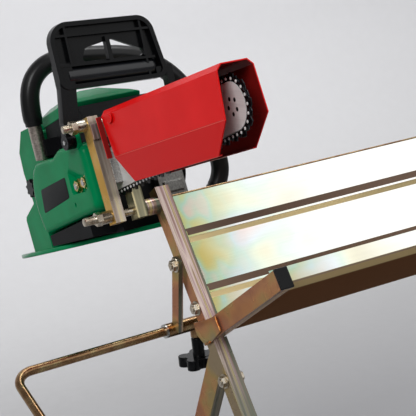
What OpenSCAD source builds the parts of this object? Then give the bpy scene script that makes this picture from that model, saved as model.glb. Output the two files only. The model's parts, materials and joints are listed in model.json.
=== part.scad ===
// Log saw stand: a sheet-metal V trough on two welded leg frames, with a swinging
// chainsaw holder at one end, a hinged chain guard and a log length stop.
// X runs along the trough, Y points away from the loading side, Z is up.

/* [Stand] */
// Height of the trough's fold above the floor
fold_h = 560; // [480:5:640]
// Lean of the legs and of the back wall from the vertical, in degrees
lean = 30; // [26:1:34]
// Length of the trough
trough_l = 900; // [700:10:1200]
// Width of the trough's back wall, up its slope
back_w = 190; // [180:1:200]
// Width of the trough's front wall, up its slope
front_w = 150; // [130:1:170]
// Thickness of the trough's sheet
sheet_t = 1.5; // [1:0.1:2.5]
// Depth of the two pressed grooves in the back wall
groove_d = 5; // [3:0.5:8]
// Width of each pressed groove
groove_w = 19; // [14:1:24]
// Side of the square tube of the rear posts and front legs
square_w = 20; // [18:1:24]
// Depth of the flat tube of the rear legs
flat_d = 30; // [26:1:34]
// Width of the rear legs' flat tube
flat_w = 15; // [12:1:18]
// Wall of all tubes
tube_wall = 1.5; // [1:0.1:2.5]
// Height of the rear posts above the fold, up their slope
post_h = 206; // [200:1:212]
// Reach of the front arms from the fold, up their slope
arm_l = 195; // [180:1:205]
// Depth of the front arms' tube
arm_d = 25; // [22:1:27]
// Width of the front arms' tube
arm_w = 17; // [15:1:18]
// Diameter of the frame bolts
bolt_d = 8; // [6:1:8]

/* [Log stop] */
// Diameter of the stop rod
rod_d = 12; // [10:0.5:14]
// Distance of the rod's bent arm from the trough
rod_reach = 248; // [230:1:280]
// Length of the rod's bent arm
rod_arm = 230; // [150:1:260]
// Inside radius of the rod's bend
rod_bend = 18; // [14:1:26]
// Dip of the bent arm below the horizontal, in degrees
rod_dip = 27; // [20:1:35]
// Length of the rod beyond the sleeve, under the trough
rod_tail = 125; // [118:1:160]
// Wall of the sliding bush round the rod
bush_wall = 1.2; // [0.8:0.1:2]
// Wall of the sleeve round the bush
sleeve_wall = 2; // [1.5:0.1:3]

/* [Saw holder] */
// Nose-up angle of the saw at rest, in degrees
nose_up = 19; // [15:1:22]
// Distance of the guide bar's plane from the trough's end
bar_off = 60; // [58:1:66]
// Length of the two clamp posts
clamp_h = 140; // [136:1:146]
// Width of a clamp post along the bar
clamp_w = 20; // [18:1:24]
// Thickness of a clamp post across the bar
clamp_t = 15; // [13:1:16]
// Diameter of the clamp bolts and of the swing pivot
clamp_bolt_d = 10; // [8:1:10]

/* [Chain guard] */
// Length of the guard
guard_l = 302; // [290:1:310]
// Width of the guard at its crease
guard_w = 56; // [54:1:60]
// Thickness of the guard's sheet
guard_t = 1.5; // [1:0.1:2]
// Pitch of the guard against the bar, in degrees
guard_pitch = 4.5; // [3:0.5:5]

/* [Saw] */
// Width of the guide bar
bar_w = 54; // [50:1:56]
// Thickness of the guide bar
bar_t = 4.6; // [4:0.1:5]
// Reach of the bar's nose centre in front of the clamp
bar_reach = 318; // [305:1:322]
// Pitch of the saw chain
chain_pitch = 9.5; // [8:0.1:11]
// Depth of the sprocket cover
cover_d = 27; // [25:1:29]
// Width of the crankcase behind the bar
case_w = 106; // [100:1:112]
// Diameter of the front handle's tube
handle_d = 19; // [17:1:20]
// Thickness of the front handle's rubber
grip_t = 4; // [3:0.5:5]
// Width of the rear handle
rear_w = 34; // [30:1:38]
// Length of the rear handle behind the tank
rear_l = 114; // [106:1:122]

/* [Hidden] */
$fn = 48;
// Gap between faces that turn or slide past each other
gap = 0.3;
// Radial clearance of a shaft in its bore
run = 0.05;
// Overshoot of a cut past a face
eps = 0.5;
// Large reach of a trimming block
far = 2000;

// Sheet strips: a polyline thickened to its left
function unit(v) = v / norm(v);
function left(v) = [-v[1], v[0]];
function heading(p, i) = unit(p[i + 1] - p[i]);
function mean_normal(a, b) = (a + b) / (1 + a * b);
function mitre(p, i) =
    i == 0 ? left(heading(p, 0)) :
    i == len(p) - 1 ? left(heading(p, i - 1)) :
    mean_normal(left(heading(p, i - 1)), left(heading(p, i)));
function strip(p, t) =
    concat(p, [for (i = [len(p) - 1:-1:0]) p[i] + t * mitre(p, i)]);

// Frame places, in the frame of the V: y to the rear of the back wall, z up its slope
arm_low = -5.5;
arm_top = arm_low + arm_d;
arm_x = -square_w;
leg_off = -18;
gusset_t = 3;
gusset_out = 30;
gusset_back = 11;
gusset_rise = 8;
gusset_inset = 2;
foot_l = 38;
foot_t = 2;
foot_sole = 4;
cap_l = 12;
cap_t = 4;
cap_lip = 0.5;
bolt_head = bolt_d * 0.65;
bolt_af = bolt_d * 1.63;
washer_t = 1.2;
hole_r = bolt_d / 2 + 0.2;
bolt_up = [102, 41];
leg_bolt_up = -58;
panel_out = square_w - arm_w;
flange_w = square_w;
front_flange = 12;
hem = 9;
groove_at = [57, 134];
chamfer_w = 11;
lip_w = 20;

// Log stop places, from the fold
sleeve_y = 89;
sleeve_z = -9;
bush_r = rod_d / 2 + run + bush_wall;
sleeve_r = bush_r + run + sleeve_wall;
sleeve_x0 = -36;
sleeve_l = 60;
collar_t = 3;
hanger_w = 16;
hanger_t = 7;
hanger_lead = 8;
knob_x = 8;
boss_r = 8;
boss_h = 9;
stud_r = 4;
knob_hub_r = 8;
knob_hub_h = 24;
knob_star_r = 28;
knob_star_h = 14;
knob_lobe_r = 9;
knob_lobes = 5;
knob_gap = 2;

// Saw frame: x across the saw from the bar's plane, y to its rear, z up; origin at the clamp
clamp_gap = 4;
clamp_far = 13;
pad_h = 40;
clamp_bolt_z = 61;
clamp_out = [66, 60];
sleeve_nut_l = 14;
clamp_nut_h = 8;
clamp_af = clamp_bolt_d * 1.6;
pivot_r = clamp_bolt_d / 2;
bush_out = 8;
pivot_head = 5;
post_in = clamp_gap + clamp_t;
post_out = clamp_far + clamp_t;
holder_collar_r = 11;
// The swing pivot runs through the left rear post's top and is the lower clamp bolt
pivot_v = [square_w / 2, post_h - 21];
pivot_drop = 59;
clamp_y = pivot_v[0] * cos(lean) + pivot_v[1] * sin(lean) + pivot_drop * sin(nose_up);
clamp_z = pivot_v[1] * cos(lean) - pivot_v[0] * sin(lean) + pivot_drop * cos(nose_up);
bolt_rows = [-pivot_drop, clamp_bolt_z];

// Chain guard places, from its hinge
guard_y = -69;
guard_z = 53.2;
guard_rear = 29;
guard_top = 13;
guard_chamfer = 7;
guard_top_w = 34;
guard_side_w = 48;
guard_crease = -48;
guard_low = -83;
guard_low_w = 50;
guard_lip = 5;
guard_cut_rear = 54;
guard_cut_mid = 21;
guard_cut_front = 38;
hinge_r = 3;
hinge_tube_r = 6;
hinge_head = 2.5;
arm_half = 8;
arm_plate_t = 4;
crank_z = [-14, -8];
crank_y = 14;

// Saw places
chain_h = 9;
chain_seat = 1;
strap_t = 1.3;
drive_t = 1.5;
tail_y = 100;
taper_y = 36;
sprocket_y = 122;
sprocket_r = 17;
drum_r = 30;
stud_r2 = 4;
stud_y = [48, 72];
stud_z = -4;
nut_af = 13;
nut_h = 7;
nut_deep = 9;
cover_x = -6;
cover_wall = 3;
cover_front = 20;
cover_low = -46;
cover_high = 52;
cover_rear = 218;
case_x = 4;
case_front = 40;
case_rear = 212;
case_top = 100;
tank_x = -24;
tank_w = 94;
tank_rear = 286;
tank_step = 8;
base_t = 6;
base_tilt = 4.4;
base_y = 22;
base_z = -80;
base_r = 361;
base_side = [-36, 96];
base_belly = [243, 190];
base_end = 402;
starter_y = 124;
starter_z = 2;
starter_r = 48;
starter_t = 26;
handle_x = [-17, 245];
handle_y = 185;
handle_z = 49;
handle_tilt = 15;
handle_top = 128;
near_bend = 70;
far_bend = 100;
foot_bend = 50;
handle_foot = -60;
handle_end = 7;
handle_r = handle_d / 2;
grip_from = 40;
shield_x = [-46, 128];
shield_y = 36;
shield_z = 50;
shield_tilt = 7;
shield_t = 13;
shield_rim = 6;
shield_skin = 5;
shield_corner = [[-13, 126], [87, 121], [106, 72], [-24, 79]];
shield_corner_r = [26, 25, 13, 14];
shield_slope = 3.5;
window = [[9, 102], [16, 108], [50, 109], [88, 98]];
window_r = [4, 8, 12, 5];
rib_t = 3;
rib_h = 8;
arm_near_w = 22;
arm_knee = [24, 69, 100];
arm_t = 10;
brake_pin_r = 3;
rear_x = 46;
rear_r = 26;
trigger_y = 312;
trigger_z = 14;
lock_y = 350;
lock_z = 19;
control_pin_r = 2;
control_w = 11;
cap_r = 13;
cap_h = 5;
fuel_y = 229;
fuel_z = 25;
oil_y = 62;
oil_z = -42;

// Height of the base plate's upper face at a place along the saw
function base_top(y) = base_z + (y - base_y) * tan(base_tilt);

// Middle of the whole object on the floor
foot_near = (fold_h + foot_t * sin(lean)) * tan(lean) + foot_t * cos(lean);
rear_end_y = tank_rear + rear_l - rear_r;
rear_end_z = -16;
x_low = -rod_reach - rod_d;
x_high = trough_l + square_w + bolt_d;
y_low = -foot_near;
y_high = clamp_y + rear_end_y * cos(nose_up) + rear_end_z * sin(nose_up) + rear_r;
middle = [(x_low + x_high) / 2, (y_low + y_high) / 2];

zinc = "goldenrod";
black = "#202020";
green = "#0a7a4c";
steel = "silver";

// Frames of reference

module stand_frame() {
    translate([-middle[0], -middle[1], fold_h]) children();
}

module v_frame() {
    stand_frame() rotate([-lean, 0, 0]) children();
}

module saw_frame() {
    stand_frame() translate([-bar_off, clamp_y, clamp_z]) rotate([-nose_up, 0, 0]) children();
}

module guard_frame() {
    saw_frame() translate([0, guard_y, guard_z]) rotate([guard_pitch, 0, 0]) children();
}

module stop_frame() {
    stand_frame() translate([0, sleeve_y, sleeve_z]) children();
}

// The right end frame mirrors the left one
module at_end(side) {
    if (side == "left") children();
    else translate([trough_l, 0, 0]) mirror([1, 0, 0]) children();
}

// Repeated shapes

module along_x(x0, x1, r) {
    translate([x0, 0, 0]) rotate([0, 90, 0]) cylinder(r = r, h = x1 - x0);
}

// A prism along X of a flat outline drawn in y and z
module side_plate(x0, x1) {
    translate([x0, 0, 0]) rotate([90, 0, 90]) linear_extrude(x1 - x0) children();
}

module tube_z(z0, z1, x0, w, y0, d) {
    difference() {
        translate([x0, y0, z0]) cube([w, d, z1 - z0]);
        translate([x0 + tube_wall, y0 + tube_wall, z0 - eps])
            cube([w - 2 * tube_wall, d - 2 * tube_wall, z1 - z0 + 2 * eps]);
    }
}

module hex_x(x0, x1, across) {
    translate([x0, 0, 0]) rotate([0, 90, 0]) cylinder(d = across / cos(30), h = x1 - x0, $fn = 6);
}

// Keeps what lies between two heights over the floor
module between(z0, z1) {
    intersection() {
        children();
        translate([-far, -far, z0]) cube([2 * far, 2 * far, z1 - z0]);
    }
}

// Places along a frame's bolts: the two in the rear post, and the one in the front leg
module at_post_bolts() {
    for (up = bolt_up) translate([0, square_w / 2, up]) children();
}

module at_leg_bolt() {
    translate([0, square_w / 2, leg_bolt_up]) children();
}

// Stand

module rear_post(side) {
    color(zinc) v_frame() at_end(side) difference() {
        tube_z(arm_top, post_h, -square_w, square_w, 0, square_w);
        at_post_bolts() along_x(-square_w - eps, eps, hole_r);
        if (side == "left") translate([0, pivot_v[0], pivot_v[1]])
            along_x(-square_w - eps, eps, bush_out);
    }
}

module front_leg(side) {
    color(zinc) between(foot_sole, far) v_frame() at_end(side) difference() {
        tube_z(-far / 2, arm_low, -square_w, square_w, 0, square_w);
        at_leg_bolt() along_x(-square_w - eps, eps, hole_r);
    }
}

module front_arm(side) {
    color(zinc) v_frame() at_end(side) translate([0, square_w, 0]) rotate([90, 0, 0])
        tube_z(0, arm_l + square_w, arm_x, arm_w, arm_low, arm_d);
}

module rear_leg_frame() {
    stand_frame() rotate([lean, 0, 0]) children();
}

module rear_leg(side) {
    color(zinc) between(foot_sole, far) difference() {
        rear_leg_frame() at_end(side)
            tube_z(-far / 2, far / 8, arm_x, flat_w, leg_off - flat_d / 2, flat_d);
        v_frame() translate([-far, -far, -far]) cube([2 * far, far + square_w, 2 * far]);
    }
}

// Plate over the crossing: the arm's end, the leg's top and the weld line on the arm
module gusset(side) {
    color(zinc) v_frame() at_end(side) side_plate(-square_w - gusset_t, -square_w)
        polygon([
            [square_w + gusset_back, arm_top - gusset_rise],
            [square_w + gusset_rise, arm_top + gusset_rise],
            [0, arm_top + gusset_inset], [-gusset_out, arm_top - gusset_inset],
            [-gusset_out, arm_low + gusset_inset], [0, arm_low - gusset_inset], [square_w, arm_low]
        ]);
}

// Back wall: end lip folded back at the top, two pressed grooves, fold at the bottom
function groove(from_top) = [
    [0, back_w - from_top + groove_w / 2],
    [groove_d, back_w - from_top],
    [0, back_w - from_top - groove_w / 2]
];

module trough_back_panel() {
    profile = concat(
        [[hem, back_w], [0, back_w]],
        groove(groove_at[0]), groove(groove_at[1]),
        [[0, 0]]
    );
    color(zinc) v_frame() difference() {
        union() {
            side_plate(0, trough_l) polygon(strip(profile, sheet_t));
            for (side = ["left", "right"]) at_end(side)
                side_plate(0, sheet_t) polygon([
                    [sheet_t, sheet_t], [flange_w, sheet_t],
                    [flange_w, back_w - sheet_t], [sheet_t, back_w - sheet_t]
                ]);
        }
        for (side = ["left", "right"]) at_end(side) {
            at_post_bolts() along_x(-eps, groove_w, hole_r);
            translate([-eps, sheet_t, pivot_v[1] - 2 * bush_out])
                cube([bush_out + eps, square_w, 4 * bush_out]);
        }
    }
}

// Front wall: chamfer and lip along its upper edge, flange at each end
module trough_front_panel() {
    chamfer = chamfer_w * sqrt(0.5);
    profile = [
        [-sheet_t, 0], [-front_w, 0],
        [-front_w - chamfer, chamfer], [-front_w - chamfer, chamfer + lip_w]
    ];
    color(zinc) v_frame() {
        side_plate(-panel_out, trough_l + panel_out) polygon(strip(profile, -sheet_t));
        for (side = ["left", "right"]) at_end(side)
            side_plate(-panel_out, sheet_t - panel_out) polygon([
                [-flange_w, 0], [-front_w, 0], [-front_w, -front_flange], [-flange_w, -front_flange]
            ]);
    }
}

module foot_block(x0, w, y0, d, grow) {
    translate([x0 - grow, y0 - grow, -far / 2]) cube([w + 2 * grow, d + 2 * grow, far]);
}

// Caps on the legs' ends, with flat soles on the floor
module leg_feet() {
    flat_y = leg_off - flat_d / 2;
    color(black) for (side = ["left", "right"]) {
        difference() {
            between(0, foot_l) v_frame() at_end(side)
                foot_block(-square_w, square_w, 0, square_w, foot_t);
            between(foot_sole, far) v_frame() at_end(side)
                foot_block(-square_w, square_w, 0, square_w, 0);
        }
        difference() {
            between(0, foot_l) rear_leg_frame() at_end(side)
                foot_block(arm_x, flat_w, flat_y, flat_d, foot_t);
            between(foot_sole, far) rear_leg_frame() at_end(side)
                foot_block(arm_x, flat_w, flat_y, flat_d, 0);
        }
    }
}

// Plugs in the arms' ends
module arm_caps() {
    seat = tube_wall + gap;
    color(black) v_frame() for (side = ["left", "right"]) at_end(side)
        translate([arm_x, -arm_l, arm_low]) {
            translate([-cap_lip, -cap_t, -cap_lip])
                cube([arm_w + 2 * cap_lip, cap_t, arm_d + 2 * cap_lip]);
            translate([seat, -eps, seat]) cube([arm_w - 2 * seat, cap_l, arm_d - 2 * seat]);
        }
}

// Frame bolts run along X: head inside the trough, nut on the outer face
module frame_bolt(x_outer, x_inner) {
    along_x(x_outer - bolt_d, x_inner, bolt_d / 2);
    hex_x(x_inner, x_inner + bolt_head, bolt_af);
}

module frame_nut(x_outer) {
    difference() {
        hex_x(x_outer - bolt_d * 0.8, x_outer, bolt_af);
        along_x(x_outer - bolt_d, x_outer + eps, bolt_d / 2);
    }
}

module frame_bolts() {
    color(zinc) v_frame() for (side = ["left", "right"]) at_end(side) {
        for (i = [0, 1]) translate([0, square_w / 2, bolt_up[i]])
            frame_bolt(-square_w - (side == "left" && i == 0 ? hanger_t : 0), sheet_t);
        at_leg_bolt() frame_bolt(-square_w, 0);
    }
}

module frame_nuts() {
    color(zinc) v_frame() for (side = ["left", "right"]) at_end(side) {
        for (i = [0, 1]) translate([0, square_w / 2, bolt_up[i]])
            frame_nut(-square_w - (side == "left" && i == 0 ? hanger_t : 0));
        at_leg_bolt() frame_nut(-square_w);
    }
}

// Log stop

// Flat bar from the rear post's upper bolt down to the sleeve
module stop_hanger() {
    top_y = square_w / 2 * cos(lean) + bolt_up[0] * sin(lean);
    top_z = bolt_up[0] * cos(lean) - square_w / 2 * sin(lean);
    foot_y = sleeve_y - hanger_lead;
    drop = norm([foot_y - top_y, sleeve_z - top_z]);
    swing = atan2(foot_y - top_y, top_z - sleeve_z);
    color(zinc) difference() {
        stand_frame() translate([-square_w - hanger_t, top_y, top_z]) rotate([swing, 0, 0]) difference() {
            translate([0, -hanger_w / 2, -drop]) cube([hanger_t, hanger_w, drop + hanger_w / 2]);
            along_x(-eps, hanger_t + eps, hole_r);
        }
        stop_frame() along_x(sleeve_x0, sleeve_x0 + sleeve_l, sleeve_r);
    }
}

module stop_sleeve() {
    color(zinc) stop_frame() difference() {
        union() {
            along_x(sleeve_x0, sleeve_x0 + sleeve_l, sleeve_r);
            translate([knob_x, 0, -sleeve_r - boss_h]) cylinder(r = boss_r, h = sleeve_r + boss_h);
        }
        along_x(sleeve_x0 - eps, sleeve_x0 + sleeve_l + eps, bush_r + run);
        translate([knob_x, 0, -sleeve_r - boss_h - eps])
            cylinder(r = stud_r + run, h = sleeve_r + boss_h);
    }
}

// Bush that turns with the rod; its collars keep it in the sleeve
module stop_bush() {
    color(steel) stop_frame() difference() {
        union() {
            along_x(sleeve_x0 - gap - collar_t, sleeve_x0 + sleeve_l + gap + collar_t, bush_r);
            along_x(sleeve_x0 - gap - collar_t, sleeve_x0 - gap, sleeve_r);
            along_x(sleeve_x0 + sleeve_l + gap, sleeve_x0 + sleeve_l + gap + collar_t, sleeve_r);
        }
        along_x(sleeve_x0 - far / 20, sleeve_x0 + far / 10, rod_d / 2 + run);
    }
}

module stop_rod() {
    bend = rod_bend + rod_d / 2;
    straight_x = -rod_reach + rod_bend;
    color(zinc) stop_frame() rotate([rod_dip, 0, 0]) {
        along_x(straight_x, sleeve_x0 + sleeve_l + rod_tail, rod_d / 2);
        translate([straight_x, -bend, 0]) rotate([0, 0, 90])
            rotate_extrude(angle = 90) translate([bend, 0]) circle(d = rod_d);
        translate([straight_x - bend, -bend, 0]) rotate([90, 0, 0])
            cylinder(d = rod_d, h = rod_arm - bend);
        translate([straight_x - bend, -rod_arm, 0]) sphere(d = rod_d);
    }
}

// Moulded star knob on a stud that comes up through the sleeve's boss
module stop_knob() {
    z0 = -sleeve_r - boss_h - knob_gap;
    color(black) stop_frame() translate([knob_x, 0, 0]) {
        translate([0, 0, z0 - eps]) cylinder(r = stud_r, h = -bush_r - gap - z0);
        translate([0, 0, z0 - knob_hub_h - eps]) cylinder(r = knob_hub_r, h = knob_hub_h + eps);
        translate([0, 0, z0 - knob_hub_h - knob_star_h]) linear_extrude(knob_star_h) union() {
            circle(r = knob_star_r - knob_lobe_r);
            for (i = [1:knob_lobes]) rotate(i * 360 / knob_lobes)
                translate([knob_star_r - knob_lobe_r, 0]) circle(r = knob_lobe_r);
        }
    }
}

// Saw holder

// Bearing bush welded through the left rear post's top
module pivot_bush() {
    color(zinc) v_frame() translate([0, pivot_v[0], pivot_v[1]]) difference() {
        along_x(-square_w, 0, bush_out);
        along_x(-square_w - eps, eps, pivot_r + run);
    }
}

// Distance collar round the pivot bolt, between the inner clamp post and the rear post
module holder_collar() {
    color(zinc) saw_frame() translate([0, 0, -pivot_drop]) difference() {
        along_x(post_in, bar_off - square_w - gap, holder_collar_r);
        along_x(0, far, clamp_bolt_d / 2 + run);
    }
}

module at_clamp_bolts() {
    for (z = bolt_rows) translate([0, 0, z]) children();
}

module clamp_post(x0) {
    color(zinc) saw_frame() difference() {
        tube_z(-clamp_h / 2, clamp_h / 2, x0, clamp_t, -clamp_w / 2, clamp_w);
        at_clamp_bolts() along_x(-far, far, clamp_bolt_d / 2 + run);
    }
}

module clamp_post_outer() {
    clamp_post(-post_out);
}

module clamp_post_inner() {
    clamp_post(clamp_gap);
}

// Jaw pads that grip the bar between its two chain runs
module clamp_pads() {
    color(steel) saw_frame() translate([0, -clamp_w / 2, -pad_h / 2]) {
        translate([bar_t / 2, 0, 0]) cube([clamp_gap - bar_t / 2, clamp_w, pad_h]);
        translate([-clamp_far, 0, 0]) cube([clamp_far - bar_t / 2, clamp_w, pad_h]);
    }
}

// The upper bolt's head sits on the inner post; the lower bolt runs on through the rear post
module clamp_bolts() {
    color(zinc) saw_frame() {
        translate([0, 0, clamp_bolt_z]) {
            along_x(-clamp_out[1], post_in, clamp_bolt_d / 2);
            hex_x(post_in, post_in + clamp_nut_h, clamp_af);
        }
        translate([0, 0, -pivot_drop]) {
            along_x(-clamp_out[0], bar_off + gap, clamp_bolt_d / 2);
            along_x(bar_off + gap, bar_off + gap + pivot_head, bush_out);
        }
    }
}

// Distance sleeves between the outer post and the nuts
module clamp_sleeves() {
    color(zinc) saw_frame() at_clamp_bolts() difference() {
        along_x(-post_out - sleeve_nut_l, -post_out, clamp_af / 2);
        along_x(-far, 0, clamp_bolt_d / 2 + run);
    }
}

module clamp_nuts() {
    nut_x = -post_out - sleeve_nut_l;
    color(zinc) saw_frame() at_clamp_bolts() difference() {
        hex_x(nut_x - clamp_nut_h, nut_x, clamp_af);
        along_x(-far, 0, clamp_bolt_d / 2 + run);
    }
}

// Cranked arm from a cross plate on the clamp posts to a tube across the inside of the guard
module guard_arm() {
    tube_x = guard_half(hinge_tube_r) - 2 * guard_t - gap;
    plate_y = -clamp_w / 2 - guard_y;
    color(zinc) saw_frame() translate([0, guard_y, guard_z]) difference() {
        union() {
            along_x(-tube_x, tube_x, hinge_tube_r);
            side_plate(-arm_half, arm_half) polygon([
                [-hinge_tube_r / 2, 0], [hinge_tube_r / 2, 0], [crank_y, crank_z[1]],
                [plate_y, crank_z[1]], [plate_y, crank_z[0]], [hinge_tube_r, crank_z[0]]
            ]);
            translate([-post_out, plate_y - arm_plate_t, crank_z[0]])
                cube([post_out + post_in, arm_plate_t, clamp_h / 7]);
        }
        along_x(-far, far, hinge_r);
    }
}

module guard_pivot_bolts() {
    wall_out = guard_half(-hinge_tube_r) + gap;
    color(zinc) saw_frame() translate([0, guard_y, guard_z]) for (s = [-1, 1])
        mirror([s < 0 ? 1 : 0, 0, 0]) {
            along_x(arm_half, wall_out, hinge_r);
            along_x(wall_out, wall_out + hinge_head, hinge_tube_r);
        }
}

// Half width of the guard's outside at a height from its hinge, on the upper panel
function guard_half(z) =
    let (top_z = guard_top - guard_chamfer)
    guard_side_w / 2 + (guard_w - guard_side_w) / 2 * (top_z - z) / (top_z - guard_crease);

// Folded tunnel, open below and at both ends; the lower panels are cut back at each end
module chain_guard() {
    half = [
        [guard_low_w / 2 - guard_lip, guard_low], [guard_low_w / 2, guard_low],
        [guard_w / 2, guard_crease], [guard_side_w / 2, guard_top - guard_chamfer],
        [guard_top_w / 2, guard_top]
    ];
    profile = concat(half, [for (i = [len(half) - 1:-1:0]) [-half[i][0], half[i][1]]]);
    front = guard_rear - guard_l;
    drop = guard_crease - guard_low;
    color("firebrick") guard_frame() difference() {
        translate([0, guard_rear, 0]) rotate([90, 0, 0]) linear_extrude(guard_l)
            polygon(strip(profile, guard_t));
        side_plate(-guard_w, guard_w) polygon([
            [guard_rear - guard_cut_mid, guard_crease], [guard_rear + eps, guard_top + eps],
            [guard_rear + guard_w, guard_crease], [guard_rear + guard_w, guard_low - eps],
            [guard_rear - guard_cut_rear, guard_low - eps]
        ]);
        side_plate(-guard_w, guard_w) polygon([
            [front - eps, guard_crease], [front - eps, guard_low - eps],
            [front + guard_cut_front, guard_low - eps]
        ]);
        along_x(-far, far, hinge_r + run);
    }
}

// Saw

// Guide bar: full width to the body, tapered tail, round nose with a ring of holes
module saw_guide_bar() {
    half = bar_w / 2;
    tail_half = half - (half - sprocket_r) * (tail_y - taper_y) / (sprocket_y - taper_y);
    color(steel) saw_frame() difference() {
        union() {
            side_plate(-bar_t / 2, bar_t / 2) polygon([
                [-bar_reach, -half], [taper_y, -half], [tail_y, -tail_half],
                [tail_y, tail_half], [taper_y, half], [-bar_reach, half]
            ]);
            translate([0, -bar_reach, 0]) along_x(-bar_t / 2, bar_t / 2, half);
        }
        for (y = stud_y) translate([0, y, stud_z]) along_x(-bar_t, bar_t, stud_r2 + run);
        for (a = [0:72:288]) translate([0, -bar_reach + half / 3 * cos(a), half / 3 * sin(a)])
            along_x(-bar_t, bar_t, 2);
    }
}

// Loop that the chain follows: sprocket to bar, out along the top, round the nose and back below
r_nose = bar_w / 2 + chain_seat;
r_tail = sprocket_r + chain_seat;
lead_l = sprocket_y - taper_y;
rail_l = taper_y + bar_reach;
nose_l = PI * r_nose;
tail_l = PI * r_tail;
chain_total = 2 * lead_l + 2 * rail_l + nose_l + tail_l;
chain_n = 2 * round(chain_total / chain_pitch / 2);
chain_step = chain_total / chain_n;
half_loop = lead_l + rail_l + nose_l;
// Place on the upper run, at a distance from the sprocket and a height over the rail
function run_point(s, off) =
    s < lead_l ?
        [sprocket_y - s, r_tail + off + (r_nose - r_tail) * s / lead_l] :
        [taper_y - (s - lead_l), r_nose + off];
function arc_point(y, r, a) = [y + r * cos(a), r * sin(a)];
function mirrored(p) = [p[0], -p[1]];
function loop_point(s0, off) =
    let (s = s0 % chain_total)
    s < lead_l + rail_l ? run_point(s, off) :
    s < half_loop ? arc_point(-bar_reach, r_nose + off, 90 + 180 * (s - lead_l - rail_l) / nose_l) :
    s < chain_total - tail_l ? mirrored(run_point(chain_total - tail_l - s, off)) :
    arc_point(sprocket_y, r_tail + off, -90 + 180 * (s - chain_total + tail_l) / tail_l);

// Every second link of the middle layer is a cutter with a raker in front of its tooth
function drive_edge(i) =
    let (s = i * chain_step)
    i % 2 == 0 ?
        [loop_point(s, 4), loop_point(s + chain_step * 0.2, 7), loop_point(s + chain_step * 0.35, 3.5),
         loop_point(s + chain_step * 0.75, 3.5)] :
        [loop_point(s, chain_h - 2), loop_point(s + chain_step * 0.1, chain_h),
         loop_point(s + chain_step * 0.7, chain_h - 1), loop_point(s + chain_step * 0.8, 3)];
function strap_edge(i) =
    let (s = i * chain_step)
    [loop_point(s, 3.4), loop_point(s + chain_step * 0.25, 4.8), loop_point(s + chain_step * 0.75, 4.8)];

module chain_layer(x0, x1, outer, inner) {
    saw_frame() side_plate(x0, x1) difference() {
        polygon(outer);
        polygon(inner);
    }
}

module saw_chain() {
    inner = [for (i = [0:chain_n - 1]) loop_point(i * chain_step, 0)];
    straps = [for (i = [0:chain_n - 1]) each strap_edge(i)];
    drives = [for (i = [0:chain_n - 1]) each drive_edge(i)];
    half = drive_t / 2;
    color(black) {
        chain_layer(-half, half, drives, inner);
        chain_layer(half, half + strap_t, straps, inner);
        chain_layer(-half - strap_t, -half, straps, inner);
    }
}

module saw_drive_sprocket() {
    color(steel) saw_frame() translate([0, sprocket_y, 0]) {
        along_x(-drive_t * 2, drive_t * 2, sprocket_r - chain_seat);
        along_x(-cover_d, case_x + 6, sprocket_r / 3);
        along_x(-cover_d + cover_wall, cover_x, drum_r);
    }
}

// Outline of the sprocket cover, seen from the bar side, or a wall's width inside it
function cover_outline(in) = [
    [cover_front + in, cover_low + in], [cover_front + in, cover_high - 10 - in],
    [60, cover_high - 3 - in], [100, cover_high + 1 - in], [124, cover_high - 5 - in],
    [160, cover_high - 1 - in], [cover_rear - 34, cover_high - in],
    [cover_rear - 20 - in, cover_high - 6 - in], [cover_rear - 8 - in, 31], [cover_rear - in, 11],
    [cover_rear - in, -15], [cover_rear - 7 - in, cover_low + in]
];

module saw_sprocket_cover() {
    out = cover_x - cover_d;
    seat = out + nut_deep;
    color(green) saw_frame() difference() {
        union() {
            difference() {
                union() {
                    side_plate(out, cover_x) polygon(cover_outline(0));
                    side_plate(out, out + 2 * cover_wall) polygon([
                        [shield_y - 10, 40], [shield_y - 10, shield_z + 8],
                        [shield_y + 10, shield_z + 8], [shield_y + 18, 40]
                    ]);
                }
                side_plate(out + cover_wall, cover_x + eps) polygon(cover_outline(cover_wall));
                translate([cover_x - chain_h, 20 - eps, -38]) cube([chain_h + eps, 6, 78]);
            }
            side_plate(out + eps, seat + cover_wall) polygon([
                [stud_y[0] - 15, stud_z - 14], [stud_y[1] + 13, stud_z - 14],
                [stud_y[1] + 13, stud_z + 14], [stud_y[0] - 15, stud_z + 14]
            ]);
        }
        side_plate(out - eps, seat) polygon([
            [stud_y[0] - 12, stud_z - 11], [stud_y[1] + 10, stud_z - 11],
            [stud_y[1] + 10, stud_z + 11], [stud_y[0] - 12, stud_z + 11]
        ]);
        for (y = stud_y) translate([0, y, stud_z]) along_x(-far, 0, stud_r2 + run);
        translate([0, 84, -27]) along_x(out - eps, out + cover_wall + eps, 3);
        translate([0, shield_y, shield_z]) along_x(-far, 0, brake_pin_r);
    }
}

module saw_bar_studs() {
    color(steel) saw_frame() for (y = stud_y) translate([0, y, stud_z])
        along_x(cover_x - cover_d + 1, case_x, stud_r2);
}

module saw_bar_nuts() {
    x1 = cover_x - cover_d + nut_deep;
    color("gold") saw_frame() for (y = stud_y) translate([0, y, stud_z]) difference() {
        union() {
            hex_x(x1 - nut_h, x1, nut_af);
            along_x(x1 - 2, x1, nut_af * 0.72);
        }
        along_x(-far, 0, stud_r2 + run);
    }
}

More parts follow.
